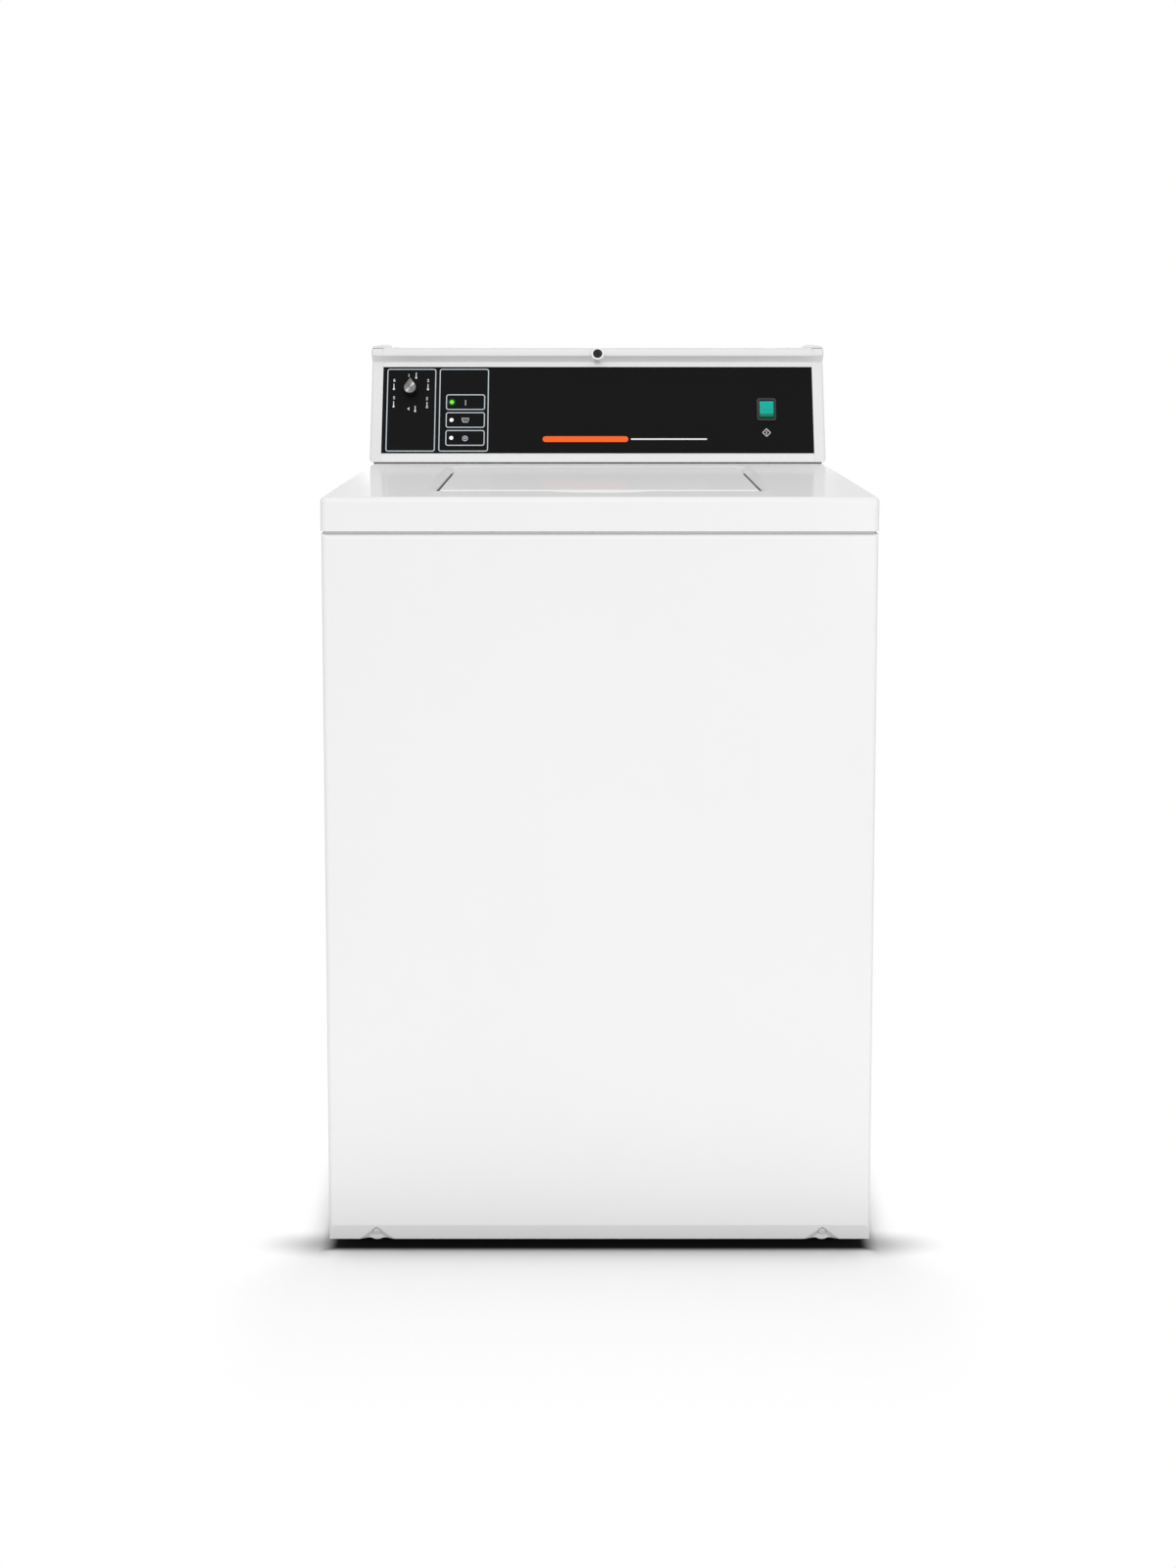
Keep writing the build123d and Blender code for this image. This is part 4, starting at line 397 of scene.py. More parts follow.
def paper_floor(white):
    """White paper with painted shadow: dark under the machine and in soft streaks past its front corners, shaded
    close to it and plain white further off.
    """
    half_width, half_depth = 0.3285, 0.3555
    painted_shadow_level = 0.02
    wall_shade, corner_shade, front_shade, rear_shade = 0.04, 0.14, 0.42, 0.12
    rim, rim_depth = 0.012, 0.3415
    streak_strength, streak_length, streak_back, streak_depth = 0.48, 0.10, 0.028, 0.042
    paper = bpy.data.materials.new("white paper")
    paper.use_nodes = True
    tree = paper.node_tree
    tree.nodes.clear()

    def matt(level):
        shader = tree.nodes.new("ShaderNodeBsdfDiffuse")
        if isinstance(level, float):
            shader.inputs["Color"].default_value = (level, level, level, 1)
        else:
            tree.links.new(level, shader.inputs["Color"])
        return shader.outputs["BSDF"]

    def ease(source, *ends):
        return span(tree, source, *ends, smooth=True)

    def work(operation, *values):
        return arithmetic(tree, operation, *values)

    # How far a point lies past the machine's sides, front and back
    apart = tree.nodes.new("ShaderNodeSeparateXYZ")
    tree.links.new(tree.nodes.new("ShaderNodeTexCoord").outputs["Object"], apart.inputs["Vector"])
    x, y = apart.outputs["X"], apart.outputs["Y"]
    past_side = work("SUBTRACT", work("ABSOLUTE", x), half_width)
    past_front = work("SUBTRACT", work("MULTIPLY", y, -1.0), half_depth)
    past_back = work("SUBTRACT", y, half_depth)
    beside, before, behind = (work("MAXIMUM", past, 0.0) for past in (past_side, past_front, past_back))
    # The shade close to the machine, which ends sooner beside it than in front of it
    side_shade = ease(past_front, -0.05, 0.10, wall_shade, corner_shade)
    away = reach(
        tree,
        work("DIVIDE", beside, side_shade),
        work("DIVIDE", before, front_shade),
        work("DIVIDE", behind, rear_shade),
    )
    # A painted shadow: the paper is near black under the machine, with a soft rim
    past_rim = work("MULTIPLY", work("SUBTRACT", work("ABSOLUTE", y), rim_depth), 2.0)
    near = matt(ease(work("MAXIMUM", past_side, past_rim), -rim, rim, painted_shadow_level, white))
    plain = node_of(tree, "ShaderNodeEmission", Strength=1.0).outputs["Emission"]
    seen = mixed(tree, ease(away, 0.0, 1.0), near, plain)
    # A soft streak of painted shadow past the front corners
    painted_shadow_streak = reach(
        tree,
        work("DIVIDE", beside, streak_length),
        work("DIVIDE", work("ADD", past_front, streak_back), streak_depth),
    )
    past_corner = ease(past_side, -0.015, 0.008)
    share = work("MULTIPLY", ease(painted_shadow_streak, 0.0, 1.0, streak_strength, 0.0), past_corner)
    shaded = mixed(tree, share, seen, matt(painted_shadow_level))
    # What the floor sends back to the machine, least from close to it and from far off; the darkening close to it
    # is painted shade
    from_machine = reach(tree, beside, before, behind)
    inner = ease(from_machine, 0.040, 0.17, 0.15, 0.96)
    outer = ease(from_machine, 0.40, 1.35, 1.0, 0.56)
    sent_back = matt(work("MULTIPLY", inner, outer))
    output = tree.nodes.new("ShaderNodeOutputMaterial")
    tree.links.new(mixed(tree, straight_rays(tree), sent_back, shaded), output.inputs["Surface"])
    return paper


def studio(strength):
    """Even white light all round, before a plain white backdrop."""
    world = bpy.data.worlds.new("studio")
    world.use_nodes = True
    tree = world.node_tree
    tree.nodes.clear()
    white = (1, 1, 1, 1)
    even = node_of(tree, "ShaderNodeBackground", Color=white, Strength=strength).outputs["Background"]
    backdrop = node_of(tree, "ShaderNodeBackground", Color=white, Strength=1.0).outputs["Background"]
    output = tree.nodes.new("ShaderNodeOutputWorld")
    tree.links.new(mixed(tree, straight_rays(tree), even, backdrop), output.inputs["Surface"])
    return world


# Modelling


def to_objects():
    """Leaves edit mode with nothing selected."""
    if bpy.context.object and bpy.context.object.mode != "OBJECT":
        bpy.ops.object.mode_set(mode="OBJECT")
    bpy.ops.object.select_all(action="DESELECT")


def take(piece):
    """Selects one piece alone and makes it the active one."""
    to_objects()
    piece.select_set(True)
    bpy.context.view_layer.objects.active = piece


def open_mesh():
    """Opens the active piece in edit mode, all of it selected."""
    bpy.ops.object.mode_set(mode="EDIT")
    bpy.ops.mesh.select_all(action="SELECT")


def call_it(piece, name):
    """Names a piece and its mesh."""
    piece.name = name
    piece.data.name = name
    return piece


def begin(name, primitive, **sizes):
    """Adds a primitive and opens it in edit mode, all of it selected."""
    to_objects()
    primitive(**sizes)
    piece = call_it(bpy.context.object, name)
    open_mesh()
    return piece


def middle(item):
    """The middle of a vertex, edge or face."""
    if isinstance(item, bmesh.types.BMVert):
        return item.co
    points = [corner.co for corner in item.verts]
    return sum(points, Vector()) / len(points)


def choose(kind, test):
    """Selects only the open mesh's vertices, edges or faces that pass the test."""
    bpy.ops.mesh.select_mode(type=kind)
    bpy.ops.mesh.select_all(action="DESELECT")
    data = bpy.context.edit_object.data
    mesh = bmesh.from_edit_mesh(data)
    items = {"VERT": mesh.verts, "EDGE": mesh.edges, "FACE": mesh.faces}[kind]
    for item in items:
        if test(middle(item), item):
            item.select_set(True)
    mesh.select_flush_mode()
    bmesh.update_edit_mesh(data)


def facing_up(_, face):
    """Tells the faces that look up, for choose."""
    return face.normal.z > 0.9


def raise_by(x, y, z):
    """Extrudes what is selected."""
    bpy.ops.mesh.extrude_region_move(TRANSFORM_OT_translate={"value": (x, y, z)})


def grow(x, y, z, centre=(0, 0, 0)):
    """Scales what is selected about a centre."""
    bpy.ops.transform.resize(value=(x, y, z), center_override=tuple(centre))


def modify(piece, kind, **settings):
    """Adds a modifier and applies it."""
    take(piece)
    modifier = piece.modifiers.new(kind.title(), kind)
    for name, value in settings.items():
        setattr(modifier, name, value)
    bpy.ops.object.modifier_apply(modifier=modifier.name)


def soften(piece, width, segments, angle):
    """Rounds the edges that are sharper than an angle in degrees."""
    modify(
        piece, "BEVEL", width=width, segments=segments, limit_method="ANGLE",
        angle_limit=math.radians(angle),
    )


def wind(piece, axis, pitch, turns, steps):
    """Winds an outline round an axis into a coil."""
    modify(
        piece, "SCREW", axis=axis, angle=2 * math.pi, screw_offset=pitch, iterations=turns, steps=steps,
        render_steps=steps, use_merge_vertices=True, merge_threshold=MERGE,
    )


def cut(piece, tool):
    """Cuts a tool's shape out of a piece and deletes the tool."""
    modify(piece, "BOOLEAN", operation="DIFFERENCE", object=tool, solver="EXACT")
    bpy.data.objects.remove(tool)


def settle(piece, place=None, smooth=35.0):
    """Puts a piece in its place, with its object at the origin, and smooths it."""
    take(piece)
    if place is not None:
        piece.matrix_world = place @ piece.matrix_world
    bpy.ops.object.transform_apply(location=True, rotation=True, scale=True)
    open_mesh()
    bpy.ops.mesh.remove_doubles(threshold=MERGE)
    bpy.ops.mesh.normals_make_consistent(inside=False)
    bpy.ops.object.mode_set(mode="OBJECT")
    bpy.ops.object.shade_smooth_by_angle(angle=math.radians(smooth))
    return piece


def hand_over(piece, material, body, slot, *nodes):
    """Gives a settled piece its finish, its body and the nodes that it stands for."""
    piece.data.materials.clear()
    piece.data.materials.append(material)
    if body:
        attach(piece, body)
    if nodes:
        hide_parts(*nodes)
    return piece


def joined(name, pieces):
    """Joins pieces into one object."""
    to_objects()
    for piece in pieces:
        piece.select_set(True)
    bpy.context.view_layer.objects.active = pieces[0]
    bpy.ops.object.join()
    return call_it(pieces[0], name)


def twin(node, name):
    """A merged copy of a CAD node's mesh, to be worked on as a piece."""
    piece = bpy.data.objects.new(name, NODES[node].data.copy())
    bpy.context.scene.collection.objects.link(piece)
    take(piece)
    open_mesh()
    bpy.ops.mesh.customdata_custom_splitnormals_clear()
    bpy.ops.mesh.remove_doubles(threshold=MERGE)
    bpy.ops.object.mode_set(mode="OBJECT")
    return piece


def copied(piece, name):
    """A copy with its own mesh."""
    other = piece.copy()
    other.data = piece.data.copy()
    bpy.context.scene.collection.objects.link(other)
    return call_it(other, name)


def on_face(across, up, out):
    """The hood face's frame, moved across, up and out from its lower middle."""
    spot = KNOB_PIN + FACE_ACROSS * (across - KNOB_PIN.x) + FACE_UP * (up - KNOB_RISE) + FACE_OUT * out
    turn = Matrix((FACE_ACROSS, FACE_UP, FACE_OUT)).transposed().to_4x4()
    return Matrix.Translation(spot) @ turn


# Print on the film: flat shapes drawn across and up the face


def hollow_out(rim):
    """Cuts the middle out of the selected flat shape and leaves a rim."""
    bpy.ops.mesh.inset(thickness=rim, depth=0)
    bpy.ops.mesh.delete(type="FACE")
    bpy.ops.mesh.select_all(action="SELECT")


def lay(piece, across, up, turned=0.0):
    """Gives an open flat shape the ink's thickness and lays it on the face."""
    raise_by(0, 0, INK)
    bpy.ops.object.mode_set(mode="OBJECT")
    piece.rotation_euler = (0, 0, turned)
    piece.location = (across, up, 0)
    return piece


def flat_bar(across, up, width, height, corner, turned=0.0):
    """A bar with round corners."""
    piece = begin("bar", bpy.ops.mesh.primitive_plane_add, size=1)
    grow(width, height, 1)
    bpy.ops.mesh.bevel(offset=corner, segments=5, affect="VERTICES")
    return lay(piece, across, up, turned)


def flat_frame(across, up, width, height, corner, line, turned=0.0):
    """The outline of a box with round corners."""
    piece = begin("frame", bpy.ops.mesh.primitive_plane_add, size=1)
    grow(width, height, 1)
    bpy.ops.mesh.bevel(offset=corner, segments=6, affect="VERTICES")
    hollow_out(line)
    return lay(piece, across, up, turned)


def flat_disc(across, up, radius, hollow=0.0):
    """A disc, or a ring round a hollow."""
    piece = begin(
        "disc", bpy.ops.mesh.primitive_circle_add, vertices=28, radius=radius, fill_type="NGON"
    )
    if hollow:
        hollow_out(radius - hollow)
    return lay(piece, across, up)


def flat_digit(across, up, digit, size):
    """A dial number, drawn a little bolder than the typeface."""
    to_objects()
    bpy.ops.object.text_add()
    piece = bpy.context.object
    piece.data.body = digit
    piece.data.size = size
    piece.data.align_x = "CENTER"
    piece.data.align_y = "CENTER"
    piece.data.extrude = INK / 2
    piece.data.offset = size * 0.016
    bpy.ops.object.convert(target="MESH")
    piece.location = (across, up, INK / 2)
    return piece


def thermometer(across, up, bulb, hollow=0.0):
    """A stem with a round end and a bulb under it, round its middle."""
    stem = flat_bar(across, up + bulb, 0.75 * bulb, 4.4 * bulb, 0.3 * bulb)
    return [stem, flat_disc(across, up - 2.1 * bulb, bulb, hollow)]


def printed(name, shapes, material):
    """Joins flat shapes into one print on the film."""
    piece = joined(name, shapes)
    settle(piece, on_face(0, 0, FILM), 20.0)
    return hand_over(piece, material, "cabinet", "overlay_black")


class WASHER_OT_finishes(bpy.types.Operator):
    """Make the finishes and give them to the CAD's own pieces"""

    bl_idname = "washer.finishes"
    bl_label = "Finishes"

    def execute(self, context):
        colours = context.scene.washer_finishes
        made = {
            "white_enamel": finish(
                "enamel", tuple(colours.enamel), (0.46, 0.56), mottle=0.006, patch=3, grain=420,
                depth=0.00003, strength=0.08, shine=0.02, coat=0.22, coat_blur=0.10,
            ),
            "hood_white": finish(
                "hood paint", tuple(colours.hood), (0.4, 0.5), mottle=0.008, patch=5, grain=900,
                strength=0.12, shine=0.15,
            ),
            "overlay_black": finish(
                "black film", tuple(colours.film), (0.42, 0.6), mottle=0.10, patch=700, grain=2200,
                depth=0.00003, strength=0.35, shine=0.06,
            ),
            "zinc_steel": finish(
                "zinc plate", (0.56, 0.57, 0.58), (0.28, 0.45), metallic=1.0, mottle=0.12, patch=60,
                grain=400,
            ),
            "rubber_black": finish(
                "black rubber", (0.022, 0.022, 0.023), (0.6, 0.8), mottle=0.2, patch=90, grain=900,
                strength=0.4,
            ),
            "pad_grey": finish(
                "friction lining", (0.30, 0.29, 0.27), (0.8, 0.95), mottle=0.25, patch=400, grain=1200,
                strength=0.6,
            ),
            "nylon_white": finish(
                "white nylon", (0.74, 0.74, 0.73), (0.35, 0.5), mottle=0.02, patch=20, grain=800
            ),
            "plastic_black": finish(
                "black moulding", (0.012, 0.012, 0.013), (0.35, 0.5), mottle=0.15, patch=200, grain=1400,
                strength=0.35, shine=0.2,
            ),
            "chrome_collar": finish(
                "bright collar", (0.86, 0.86, 0.86), (0.22, 0.34), mottle=0.03, patch=200, grain=1200
            ),
            "knob_metal": finish(
                "knob body", (0.008, 0.008, 0.009), (0.3, 0.42), mottle=0.1, patch=300, grain=1500,
                shine=0.2,
            ),
            "start_green": rocker_green("green rocker", tuple(colours.start)),
            # The unlit lenses glow faintly: painted light, as their lamps are off
            "lamp_clear": lamp_lens("white lens", (0.9, 0.92, 0.92), 0.35),
            "board_green": finish(
                "circuit board", (0.03, 0.16, 0.06), (0.35, 0.5), mottle=0.35, patch=260, grain=900
            ),
            "valve_plastic": finish(
                "valve nylon", (0.60, 0.60, 0.57), (0.4, 0.55), mottle=0.06, patch=60, grain=900
            ),
            "enamel_tub": porcelain("tub enamel", (0.045, 0.06, 0.10), (0.45, 0.5, 0.56)),
            "stainless": finish(
                "stainless", (0.74, 0.74, 0.745), (0.2, 0.34), metallic=1.0, mottle=0.05, patch=5,
                grain=60, stretch=(1, 1, 30),
            ),
            "cast_iron": finish(
                "cast alloy", (0.36, 0.36, 0.37), (0.42, 0.6), metallic=0.9, mottle=0.12, patch=80,
                grain=500, strength=0.5,
            ),
            "bearing_steel": finish(
                "ground steel", (0.55, 0.55, 0.56), (0.15, 0.3), metallic=1.0, mottle=0.06, patch=90,
                grain=900,
            ),
            "motor_paint": finish(
                "motor paint", (0.03, 0.03, 0.034), (0.35, 0.5), mottle=0.2, patch=50, grain=700
            ),
            "agitator_plastic": finish(
                "agitator plastic", (0.68, 0.70, 0.72), (0.24, 0.36), mottle=0.012, patch=8, grain=700,
                coat=0.15,
            ),
        }
        for row in frame["record"]["subparts"]:
            NODES[row["node"]].material_slots[0].material = made[row["material_slot"]]
        return {"FINISHED"}


class WASHER_OT_panel_print(bpy.types.Operator):
    """Print the frames, dial numbers, marks and stripe on the hood's film"""

    bl_idname = "washer.panel_print"
    bl_label = "Panel print"

    def execute(self, context):
        sizes = context.scene.washer_print
        colours = context.scene.washer_finishes
        ink = {"gloss": (0.4, 0.5), "patch": 600, "grain": 2000}
        pale = finish("pale print", tuple(colours.line), mottle=0.03, **ink)
        white = finish("white print", (0.78, 0.80, 0.80), mottle=0.03, **ink)
        orange = finish("orange print", tuple(colours.stripe), mottle=0.04, shine=0.06, **ink)

        # Frames round the selector, the lamps and each lamp: across, up, width, height
        boxes = [(-0.26775, 0.0776, 0.0705, 0.1242), (-0.192, 0.0776, 0.071, 0.1242)]
        boxes += [(-0.18965, lamp_up, 0.0561, 0.0234) for lamp_up in LAMPS_UP.values()]
        frames = [flat_frame(*box, sizes.corner, sizes.line) for box in boxes]
        printed("panel_frames", frames, pale)

        # Six dial numbers, each with a thermometer, the third one's bulb hollow
        dial_places = (
            ((-0.2719, 0.1294), (-0.2614, 0.1294)),
            ((-0.2440, 0.1216), (-0.2441, 0.1118)),
            ((-0.2453, 0.0945), (-0.2450, 0.0850)),
            ((-0.2715, 0.0792), (-0.2619, 0.0792)),
            ((-0.2926, 0.0958), (-0.2930, 0.0860)),
            ((-0.2928, 0.1222), (-0.2932, 0.1123)),
        )
        dial = []
        for number, (digit_at, stem_at) in enumerate(dial_places, start=1):
            dial.append(flat_digit(*digit_at, str(number), sizes.digit))
            dial += thermometer(*stem_at, sizes.bulb, 0.5 * sizes.bulb if number == 3 else 0.0)
        printed("dial_marks", dial, white)

        # Signs beside the lamps: a bar, a tub with two drops of water, and a ring round a dot
        sign = -0.1896
        bar_up, tub_up, ring_up = 0.0884, 0.0622, 0.0350
        status = [
            flat_bar(sign, bar_up, 0.0011, 0.0082, 0.0005),
            flat_bar(sign, 0.0594, 0.0062, 0.0010, 0.0004),
            flat_bar(sign, 0.0651, 0.0106, 0.0010, 0.0004),
        ]
        for side in (-1, 1):
            status.append(flat_bar(sign + side * 0.0041, tub_up, 0.0010, 0.0064, 0.0004, side * -0.3))
            status.append(flat_bar(sign + side * 0.0013, tub_up, 0.0008, 0.0026, 0.0003))
        status.append(flat_disc(sign, ring_up, 0.0040, 0.0029))
        status.append(flat_disc(sign, ring_up, 0.0014))
        printed("status_marks", status, pale)

        # A bar in a diamond under the start switch
        start_at = (0.2417, 0.0438)
        start = [
            flat_frame(*start_at, 0.0088, 0.0088, 0.0005, 0.0009, math.pi / 4),
            flat_bar(*start_at, 0.0010, 0.0050, 0.0004),
        ]
        printed("start_mark", start, white)

        stripe_up = 0.0340
        printed("stripe_orange", [flat_bar(-0.0174, stripe_up, 0.1225, 0.0086, 0.0042)], orange)
        printed("stripe_white", [flat_bar(0.1020, stripe_up, 0.1090, 0.0022, 0.0010)], white)
        return {"FINISHED"}


def teardrop(name, radius, tip, inset, low):
    """A flat teardrop that points up, drawn in by an inset and lifted to a height."""
    touch = math.asin(radius / tip)
    side_up = radius * math.sin(touch)
    piece = begin(
        name, bpy.ops.mesh.primitive_circle_add, vertices=72, radius=radius, fill_type="NOTHING"
    )
    choose("VERT", lambda at, _: at.y > side_up + 0.0001)
    bpy.ops.mesh.delete(type="VERT")
    last = max(v.co.y for v in bmesh.from_edit_mesh(piece.data).verts)
    choose("VERT", lambda at, _: at.x > 0 and at.y > last - 0.00001)
    end = next(v.co.copy() for v in bmesh.from_edit_mesh(piece.data).verts if v.select)
    bpy.ops.mesh.extrude_vertices_move(TRANSFORM_OT_translate={"value": (-end.x, tip - end.y, 0)})
    bpy.ops.mesh.select_all(action="SELECT")
    bpy.ops.mesh.edge_face_add()
    grow(1 - inset / radius, 1 - inset / radius, 1)
    bpy.ops.transform.translate(value=(0, 0, low))
    return piece


class WASHER_OT_selector(bpy.types.Operator):
    """Model the teardrop selector knob and its spun metal face"""

    bl_idname = "washer.selector"
    bl_label = "Selector"

    def execute(self, context):
        radius, tip = 0.0092, 0.0157
        back, deep, rim, sunk = 0.0041, 0.0160, 0.0026, 0.0004
        place = on_face(KNOB_PIN.x, KNOB_RISE, 0)

        body = teardrop("selector_body", radius, tip, 0.0, back)
        raise_by(0, 0, deep - rim)
        choose("FACE", lambda at, _: at.z > back + deep - rim - 0.0001)
        bpy.ops.mesh.inset(thickness=0.0007, depth=-sunk)
        settle(body, place)
        soften(body, 0.0003, 2, 40)
        hand_over(settle(body), bpy.data.materials["knob body"], "selector", "knob_metal", "selector_knob")

        cap = teardrop("selector_cap", radius, tip, 0.0006, back + deep - rim - sunk)
        raise_by(0, 0, rim - 0.0002)
        choose("FACE", lambda at, _: at.z > back + deep - 0.0008)
        bpy.ops.mesh.inset(thickness=0.0006, depth=0.0006)
        settle(cap, place)
        soften(cap, 0.00025, 2, 30)
        hand_over(settle(cap), spun_metal("spun face"), "selector", "knob_metal")
        return {"FINISHED"}


class WASHER_OT_start_switch(bpy.types.Operator):
    """Soften the start switch's bezel and rocker and set the rocker's grip dots"""

    bl_idname = "washer.start_switch"
    bl_label = "Start switch"

    def execute(self, context):
        bezel = twin("start_switch", "start_bezel")
        soften(bezel, 0.0009, 3, 50)
        grey = finish(
            "bezel grey", (0.036, 0.035, 0.038), (0.35, 0.5), mottle=0.1, patch=300, grain=1500, shine=0.2
        )
        hand_over(settle(bezel), grey, "cabinet", "plastic_black", "start_switch")

        rocker = twin("start_rocker", "rocker")
        soften(rocker, 0.0005, 3, 25)
        green = bpy.data.materials["green rocker"]
        hand_over(settle(rocker), green, "start", "start_green", "start_rocker")

        # Dots in staggered rows on the slope from the rocker's heel, at its top, to its ridge
        heel, crest = 0.0025, 0.0065
        slope = (crest - heel) / (ROCKER_HALF + ROCKER_RIDGE)
        lean = Matrix.Rotation(math.atan(slope), 4, "X")
        top_row, row_step, column_step = 0.0052, 0.0026, 0.0024
        dots = []
        for row in range(4):
            stagger = 0.0012 if row % 2 else 0.0
            for column in range(-3, 4):
                dot = begin(
                    "dot", bpy.ops.mesh.primitive_uv_sphere_add, segments=10, ring_count=6, radius=0.00042
                )
                grow(1, 1, 0.6)
                bpy.ops.object.mode_set(mode="OBJECT")
                up = top_row - row * row_step
                out = heel + (ROCKER_HALF - up) * slope
                across = column * column_step + stagger - 0.0006
                dot.matrix_world = Matrix.Translation((across, up, out)) @ lean
                dots.append(dot)
        grip = settle(joined("rocker_grip", dots), on_face(*START_AT, 0))
        deep_green = tuple(c * 0.55 for c in context.scene.washer_finishes.start)
        darker = finish("grip green", deep_green, (0.3, 0.4), mottle=0.05, patch=300, grain=1600)
        hand_over(grip, darker, "start", "start_green")
        return {"FINISHED"}


class WASHER_OT_lamps(bpy.types.Operator):
    """Model the three status lamps, the top one lit"""

    bl_idname = "washer.lamps"
    bl_label = "Status lamps"

    def execute(self, context):
        colours = context.scene.washer_finishes
        lit = lamp_lens("lit lens", tuple(colours.lit), 0.8)
        unlit = bpy.data.materials["white lens"]
        lit_name, lit_up = next(iter(LAMPS_UP.items()))
        # A painted glow on the film round the lit lamp
        glow = lamp_glow("painted lamp glow", LAMP_ACROSS, lit_up, tuple(colours.film))
        printed("painted_lamp_halo", [flat_disc(LAMP_ACROSS, lit_up, GLOW_RADIUS)], glow)

        # Each lens steps up to its middle: how far in and how far out at each step
        deep, proud = 0.008, 0.0002
        steps = ((0.0004, 0.00018), (0.0008, 0.00016), (0.0008, 0.00006))
        for name, up in LAMPS_UP.items():
            lens = begin(
                name, bpy.ops.mesh.primitive_cylinder_add, vertices=40, radius=LAMP_RADIUS, depth=deep
            )
            bpy.ops.transform.translate(value=(0, 0, -deep / 2 + FILM + proud))
            for inward, outward in steps:
                choose("FACE", lambda at, face: facing_up(at, face) and at.xy.length < 0.0002)
                bpy.ops.mesh.inset(thickness=inward, depth=outward)
            settle(lens, on_face(LAMP_ACROSS, up, 0), 60)
            shown, nodes = (lit, ["status_lamps"]) if name == lit_name else (unlit, [])
            hand_over(lens, shown, "cabinet", "lamp_clear", *nodes)
        return {"FINISHED"}


class WASHER_OT_key_lock(bpy.types.Operator):
    """Round the key lock's collar and cut the keyway in its plug"""

    bl_idname = "washer.key_lock"
    bl_label = "Key lock"

    def execute(self, context):
        collar = twin("lock_collar", "lock_ring")
        soften(collar, 0.0009, 4, 50)
        bright = bpy.data.materials["bright collar"]
        hand_over(settle(collar), bright, "cabinet", "chrome_collar", "lock_collar")

        plug_up, plug_out = 0.1557, 0.0224
        plug = twin("lock_plug", "lock_barrel")
        keyway = begin("keyway", bpy.ops.mesh.primitive_cube_add, size=1)
        grow(0.0013, 0.0064, 0.006)
        bpy.ops.mesh.bevel(offset=0.0002, segments=1)
        settle(keyway, on_face(0, plug_up, plug_out))
        cut(plug, keyway)
        black = bpy.data.materials["black moulding"]
        hand_over(settle(plug), black, "lock", "plastic_black", "lock_plug")
        return {"FINISHED"}


class WASHER_OT_basket(bpy.types.Operator):
    """Model the perforated wash basket"""

    bl_idname = "washer.basket"
    bl_label = "Basket"

    def execute(self, context):
        sizes = context.scene.washer_basket
        low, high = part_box("wash_basket")
        inside, sheet, corner = 0.0015, 0.0014, 0.024
        radius = (high.x - low.x) / 2 - inside
        bottom = low.z + corner
        centre = Vector((0, TUB_AXIS.y, 0))
        basket = begin(
            "basket_shell", bpy.ops.mesh.primitive_cylinder_add, vertices=sizes.columns, radius=radius,
            depth=high.z - bottom, end_fill_type="NOTHING", location=(0, TUB_AXIS.y, (high.z + bottom) / 2),
        )
        settle(basket)

        # Holes in every other place of the wall, below its two top rows
        bpy.ops.object.mode_set(mode="EDIT")
        choose("EDGE", lambda _, edge: abs(edge.verts[0].co.z - edge.verts[1].co.z) > 0.1)
        bpy.ops.mesh.subdivide(number_cuts=sizes.rows - 1)
        pitch = (high.z - bottom) / sizes.rows
        step = 2 * math.pi / sizes.columns

        def holed(at, _):
            column = round(math.atan2(at.y - TUB_AXIS.y, at.x) / step - 0.5)
            row = int((at.z - bottom) / pitch)
            return (column + row) % 2 == 0 and row < sizes.rows - 2

        choose("FACE", holed)
        bpy.ops.mesh.inset(thickness=(min(pitch, step * radius) - sizes.hole) / 2, use_individual=True)
        bpy.ops.mesh.delete(type="FACE")

        # The round corner at the foot of the wall, then the floor in to the hub
        choose("EDGE", lambda _, edge: all(abs(v.co.z - bottom) < 0.0001 for v in edge.verts))
        rings = []
        for turn in (30, 60, 90):
            angle = math.radians(turn)
            rings.append((
                radius - corner * (1 - math.cos(angle)), bottom - (corner - inside) * math.sin(angle)
            ))
        rings += [(ring, rings[-1][1]) for ring in (0.16, 0.09, 0.0395)]
        width, level = radius, bottom
        for next_width, next_level in rings:
            raise_by(0, 0, next_level - level)
            grow(next_width / width, next_width / width, 1, centre + Vector((0, 0, next_level)))
            width, level = next_width, next_level
        settle(basket)
        modify(basket, "SOLIDIFY", thickness=sheet, offset=1.0)
        modify(basket, "SUBSURF", levels=1, render_levels=1)
        take(basket)
        bpy.ops.object.shade_smooth_by_angle(angle=math.radians(50))
        hand_over(basket, bpy.data.materials["stainless"], "spin_unit", "stainless", "wash_basket")
        return {"FINISHED"}


